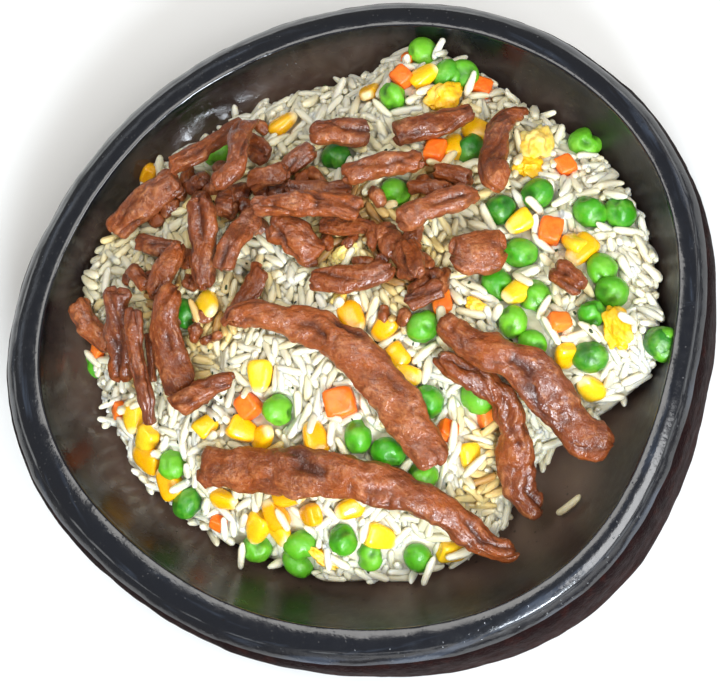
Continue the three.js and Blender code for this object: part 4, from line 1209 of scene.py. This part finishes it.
# Rice
def make_core(material, tone_at):
    """The body of the heap, just under the grains that lie on it."""
    angle = circle(CORE_STEPS)
    points = []
    tones = []
    for part in np.linspace(1.0, 0.01, CORE_ROWS) ** 0.75:
        radius = heap_radius(angle) * part * 0.985
        x, y = from_polar(angle, radius)
        flat = stacked(x, y, 0 * x)
        relief = 0.9 * np.abs(noise(flat, 3.0, 21)) + 0.5 * noise(flat, 1.6, 22)
        z = np.maximum(heap_height(x, y) - CORE_DEPTH + relief, dish_height(x, y) - 0.3)
        points.append(stacked(x, y, z))
        tones.append(tone_at(points[-1]))
    under = [*-OUTLINE_MIDDLE, FLOOR_HEIGHT - 0.3]
    top = [*-OUTLINE_MIDDLE, HEAP_PEAK - CORE_DEPTH]
    points.append(np.array([under, top]))
    tones.append(np.array([0.3, 0.3]))
    mesh = make_mesh("rice_core", np.concatenate(points), ring_faces(CORE_ROWS, CORE_STEPS),
                     {"tone": np.concatenate(tones)})
    add_piece("rice_core", mesh, material, "rice", ["rice_heap"])


def grain_shape(half_length, half_width, half_thick, bend, seed):
    """One grain along X: an uneven blunt spindle, a little bent."""
    turn = circle(GRAIN_SIDES)
    points = []
    for place in GRAIN_RINGS:
        size = (1 - abs(place) ** 3.6) ** 0.42 * (1 + 0.1 * sin(seed + place * 4)) * (1 - 0.1 * place)
        ring = stacked(
            np.full(GRAIN_SIDES, place * half_length),
            np.cos(turn) * half_width * size + bend * (place * place - 0.3) * half_length,
            np.sin(turn) * half_thick * size,
        )
        points.append(ring)
    ends = np.array([[-half_length, bend * 0.7 * half_length, 0], [half_length, bend * 0.7 * half_length, 0]])
    return np.vstack(points + [ends])


def grain_faces():
    faces = []
    for face in ring_faces(len(GRAIN_RINGS), GRAIN_SIDES):
        if len(face) == 4:
            faces += [(face[0], face[1], face[2]), (face[0], face[2], face[3])]
        else:
            faces.append(face)
    return np.array(faces)


class Pile:
    """Grains already placed, as short chains of points kept in square plan cells."""

    CELL = 7.0

    def __init__(self):
        self.cells = {}

    def key(self, point):
        return int(floor(point[0] / self.CELL)), int(floor(point[1] / self.CELL))

    def add(self, chain):
        for point in chain:
            self.cells.setdefault(self.key(point), []).append(point)

    def near(self, point):
        column, row = self.key(point)
        found = []
        for i in (-1, 0, 1):
            for j in (-1, 0, 1):
                found += self.cells.get((column + i, row + j), [])
        return np.array(found) if found else np.zeros((0, 3))


CHAIN = np.array([-0.82, -0.41, 0.0, 0.41, 0.82])


def least_gap(chains, points):
    if not len(points):
        return np.full(len(chains), 9.0)
    return norm(chains[:, :, None, :] - points[None, None, :, :], axis=-1).min(axis=(1, 2))


def directions_on(normal, field, count):
    """Directions that lie nearly flat on a normal, gathered about the field's angle."""
    first = unit(np.cross(normal, [0.31, 0.9, 0.1]))
    second = np.cross(normal, first)
    angles = field + random.normal(0, 0.9, count)
    lean = random.normal(0, 0.28, count)
    flat = first * np.cos(angles)[:, None] + second * np.sin(angles)[:, None]
    return flat * np.cos(lean)[:, None] + normal * np.sin(lean)[:, None]


def clear_of(chain, tree, need):
    for point in chain:
        if tree.find_nearest(Vector(point), need)[0] is not None or is_inside(tree, point):
            return False
    return True


def place_grains(taken, beef_tree):
    """Packs grains level by level over the heap; returns their middles, axes and normals."""
    pile = Pile()
    balls = np.array([[*point, reach] for point, reach in taken])
    grains = []
    for level, tries, wander in GRAIN_LEVELS:
        radius = GRAIN_FIELD * np.sqrt(between(0, 1, tries))
        angle = between(0, 2 * pi, tries)
        x = radius * np.cos(angle)
        y = radius * np.sin(angle)
        part = heap_part(x, y)
        normals = heap_normal(x, y)
        heights = heap_height(x, y)
        steep = between(0, 1, tries) < 0.34 / np.clip(normals[:, 2], 0.34, 1)
        field = 2.6 * noise(stacked(x, y, 0 * x), 9, 51)
        for k in np.flatnonzero((part < 1.0) & steep):
            if len(grains) >= GRAIN_LIMIT:
                return grains
            normal = normals[k]
            middle = np.array([x[k], y[k], heights[k]]) + normal * (level + between(-wander, wander))
            half = GRAIN_HALF_LENGTH * between(0.8, 1.14)
            axes = directions_on(normal, field[k], GRAIN_TURNS)
            chains = middle + axes[:, None, :] * (CHAIN * half)[None, :, None]
            room = least_gap(chains, pile.near(middle)) - GRAIN_GAP
            close = norm(balls[:, :3] - middle, axis=1) < 16
            if close.any():
                spans = norm(chains[:, :, None, :] - balls[None, None, close, :3], axis=-1)
                room = np.minimum(room, (spans - balls[None, None, close, 3]).min(axis=(1, 2)) - PIECE_GAP)
            best = int(np.argmax(room))
            if room[best] < 0:
                continue
            chain = chains[best]
            above_dish = np.all(chain[:, 2] >= dish_height(chain[:, 0], chain[:, 1]) + DISH_GAP)
            if above_dish and clear_of(chain, beef_tree, MEAT_GAP):
                pile.add(chain)
                grains.append((middle, axes[best], normal, half))
    return grains


def edge_grains():
    """Grains along the foot of the heap, most of them pointing out of it."""
    grains = []
    for angle in between(0, 2 * pi, EDGE_GRAINS):
        radius = heap_radius(angle) + between(-3.5, 1.5)
        x, y = from_polar(angle, radius)
        normal = dish_normal(x, y)
        lift = GRAIN_HALF_THICK + between(0.1, 1.6)
        middle = np.array([x, y, float(dish_height(x, y))]) + normal * lift
        turn = angle + random.normal(0, 0.7)
        flat = np.array([cos(turn), sin(turn), 0])
        axis = flat - normal * flat.dot(normal) + normal * between(-0.05, 0.3)
        grains.append((middle, unit(axis), normal, GRAIN_HALF_LENGTH * between(0.8, 1.1)))
    return grains


def rider_grains(taken, beef_tree):
    """Grains that lie against and partly over the larger pieces."""
    grains = []
    for middle, reach in taken:
        if between(0, 1) > 0.55:
            continue
        for _ in range(3):
            turn = between(0, 2 * pi)
            rise = between(0.15, 0.75)
            flat = cos(rise)
            normal = np.array([cos(turn) * flat, sin(turn) * flat, sin(rise)])
            place = middle + normal * (reach + GRAIN_HALF_THICK * 0.6)
            side = unit(np.cross(normal, [0, 0, 1]))
            uphill = np.cross(normal, side)
            axis = unit(side * cos(turn * 3) + uphill * sin(turn * 3) * 0.7 - normal * 0.2)
            half = GRAIN_HALF_LENGTH * between(0.8, 1.05)
            chain = place + axis * (CHAIN * half)[:, None]
            others = np.array([[*other, size] for other, size in taken if norm(other - middle) > 0.1])
            gaps = norm(chain[:, None, :] - others[None, :, :3], axis=-1) - others[:, 3]
            if gaps.min() > 0.8 and clear_of(chain, beef_tree, 0.9):
                grains.append((place, axis, normal, half))
                break
    return grains


def make_grains(grains, name, material, tone_at, nodes):
    joined = Joined()
    faces = grain_faces()
    middles = np.array([grain[0] for grain in grains])
    tones = tone_at(middles)
    for (middle, axis, normal, half), tone in zip(grains, tones):
        scale = between(0.88, 1.1)
        shape = grain_shape(half, GRAIN_HALF_WIDTH * scale, GRAIN_HALF_THICK * scale,
                            between(-0.16, 0.16), between(0, 6))
        across = unit(np.cross(normal, axis))
        stand = np.cross(axis, across)
        roll = between(-0.5, 0.5)
        first = across * cos(roll) + stand * sin(roll)
        second = stand * cos(roll) - across * sin(roll)
        body = middle + shape[:, :1] * axis + shape[:, 1:2] * first + shape[:, 2:3] * second
        joined.add(body, faces, tone=float(np.clip(tone + random.normal(0, 0.06), 0, 1)))
    add_piece(name, joined.mesh(name), material, "rice", nodes)


def tone_from(beef_tree):
    """How far the rice is tinted at each point, by sauce and by painted shade in the gaps among the strips: 0
    white to 1 dark brown.
    """
    sauce_and_shade_pools = [(on_surface((x, y), food_height, 0), radius * VIEW_DISTANCE / FOCAL_PIXELS)
             for x, y, radius in SAUCE_AND_PAINTED_SHADE_PLACES]

    def tone_at(points):
        points = np.asarray(points, dtype=float)
        away = np.array([beef_tree.find_nearest(Vector(point))[3] for point in points])
        stain = np.exp(-np.maximum(away - 1.0, 0) / SOAK_DEPTH)
        # The listed places add brown for soaked sauce and as painted shade
        sauce_and_shade = np.zeros(len(points))
        for middle, radius in sauce_and_shade_pools:
            sauce_and_shade = np.maximum(sauce_and_shade, np.clip(1.5 - norm(points - middle, axis=1) / radius, 0, 1))
        cloud = noise(points, 14, 71) * 0.5 + 0.5
        near = 0.08 + 0.36 * stain * (0.3 + cloud) + 0.2 * cloud
        return np.clip(near + sauce_and_shade * (0.25 + 0.35 * stain), 0, 1)
    return tone_at


def make_specks(material):
    """Tiny flakes of herb and pepper, on whatever grain lies uppermost."""
    joined = Joined()
    points, faces = ball(7, 4)
    grains = bpy.data.meshes["rice_grains"]
    tree = BVHTree.FromPolygons([vertex.co / MM for vertex in grains.vertices],
                                [polygon.vertices for polygon in grains.polygons])
    for _ in range(SPECK_COUNT):
        radius = SPECK_FIELD * sqrt(between(0, 1))
        angle = between(0, 2 * pi)
        x = radius * cos(angle)
        y = radius * sin(angle)
        if heap_part(x, y) > 0.97:
            continue
        size = between(0.4, 0.85)
        shape = points * (np.array([1, 0.55, 0.3]) * size) * between(0.8, 1.2, (len(points), 1))
        spin = between(0, 6)
        top = tree.ray_cast(Vector((x, y, HIGH_ABOVE)), Vector((0, 0, -1)))
        if top[0] is not None:
            joined.add(turned(shape, top[1], spin, 0.2) + np.array(top[0]), faces, tone=0.0)
    add_piece("rice_specks", joined.mesh("rice_specks"), material, "pea", ["rice_heap"])


def make_loose_grain(material, tone_at):
    spot = on_surface(LOOSE_GRAIN_PLACE, dish_height, 0)
    normal = dish_normal(spot[0], spot[1])
    ahead = on_height(LOOSE_GRAIN_END, spot[2]) - spot
    ahead -= normal * ahead.dot(normal)
    middle = spot + normal * (GRAIN_HALF_THICK + 0.5)
    grain = (middle, unit(ahead), normal, GRAIN_HALF_LENGTH)
    make_grains([grain], "loose_grain", material, tone_at, ["loose_rice_grain"])


# Camera, light and floor
def make_camera():
    data = bpy.data.cameras.new("camera")
    data.sensor_width = SENSOR_WIDTH
    data.lens = SENSOR_WIDTH * FOCAL_PIXELS / FRAME_WIDTH
    data.clip_end = 10
    camera = bpy.data.objects.new("camera", data)
    rotation = Matrix((VIEW_RIGHT, VIEW_UP, VIEW_BACK)).transposed().to_4x4()
    camera.matrix_world = Matrix.Translation(Vector(VIEW_START) * MM) @ rotation
    bpy.context.collection.objects.link(camera)
    bpy.context.scene.camera = camera


def area_light(name, place, size, power, colour):
    data = bpy.data.lights.new(name, "AREA")
    data.shape = "RECTANGLE"
    data.size, data.size_y = size
    data.energy = power
    data.color = colour
    light = bpy.data.objects.new(name, data)
    light.location = place
    light.rotation_euler = (Vector(LIGHT_TARGET) - Vector(place)).to_track_quat("-Z", "Y").to_euler()
    bpy.context.collection.objects.link(light)


def make_sky():
    """A plain pale sky with a brighter band low down on one side."""
    world = bpy.data.worlds.new("world")
    world.use_nodes = True
    nodes = Nodes(world.node_tree)
    place = nodes.node("TexCoord").outputs["Generated"]
    height = nodes.node("SeparateXYZ", {0: place}).outputs["Z"]
    low = nodes.span(nodes.math("ABSOLUTE", nodes.math("SUBTRACT", height, 0.3)), 0.17, 0.05)
    bearing = radians(SKY_BAND_BEARING)
    side = nodes.node("VectorMath", {0: place, 1: (cos(bearing), sin(bearing), 0)},
                      operation="DOT_PRODUCT").outputs["Value"]
    band = nodes.times(low, nodes.span(side, -0.1, 0.3))
    power = nodes.math("MULTIPLY_ADD", band, SKY_BAND_POWER, SKY_POWER)
    background = world.node_tree.nodes["Background"]
    nodes.put(background.inputs["Color"], SKY_COLOUR)
    nodes.put(background.inputs["Strength"], power)
    bpy.context.scene.world = world


def make_floor():
    bpy.ops.mesh.primitive_plane_add(size=6, location=(0, 0, -0.0002))
    floor = bpy.context.active_object
    floor.name = "floor"
    paint = Paint("floor")
    paint.set(Base_Color=(0.8, 0.8, 0.79, 1), Roughness=0.7)
    floor.data.materials.append(paint.material)


def main():
    make_camera()
    for light in LIGHTS:
        area_light(*light)
    make_sky()
    make_floor()
    materials = {"pea": pea_paint(), "corn": corn_paint(), "carrot": carrot_paint(), "egg": egg_paint()}
    beef = beef_paint()
    rice = rice_paint("rice")
    make_dish(glaze_paint(), clay_paint())
    for seed, (name, path, tone) in enumerate(BEEF_STRIPS):
        make_strip(name, path, tone, seed + 1, beef)
    make_crumbs(beef)
    beef_tree = node_tree([name for name, _, _ in BEEF_STRIPS])
    tone_at = tone_from(beef_tree)
    taken = make_pieces(materials, beef_tree)
    # The body under the grains is the rice painted darker, as shade seen between the grains
    make_core(rice_paint("rice_under_painted_shade", 0.86), tone_at)
    grains = place_grains(taken, beef_tree) + edge_grains() + rider_grains(taken, beef_tree)
    make_grains(grains, "rice_grains", rice, tone_at, ["rice_heap"])
    make_specks(speck_paint())
    make_loose_grain(rice, tone_at)
    bpy.context.scene.view_settings.view_transform = "Standard"


main()
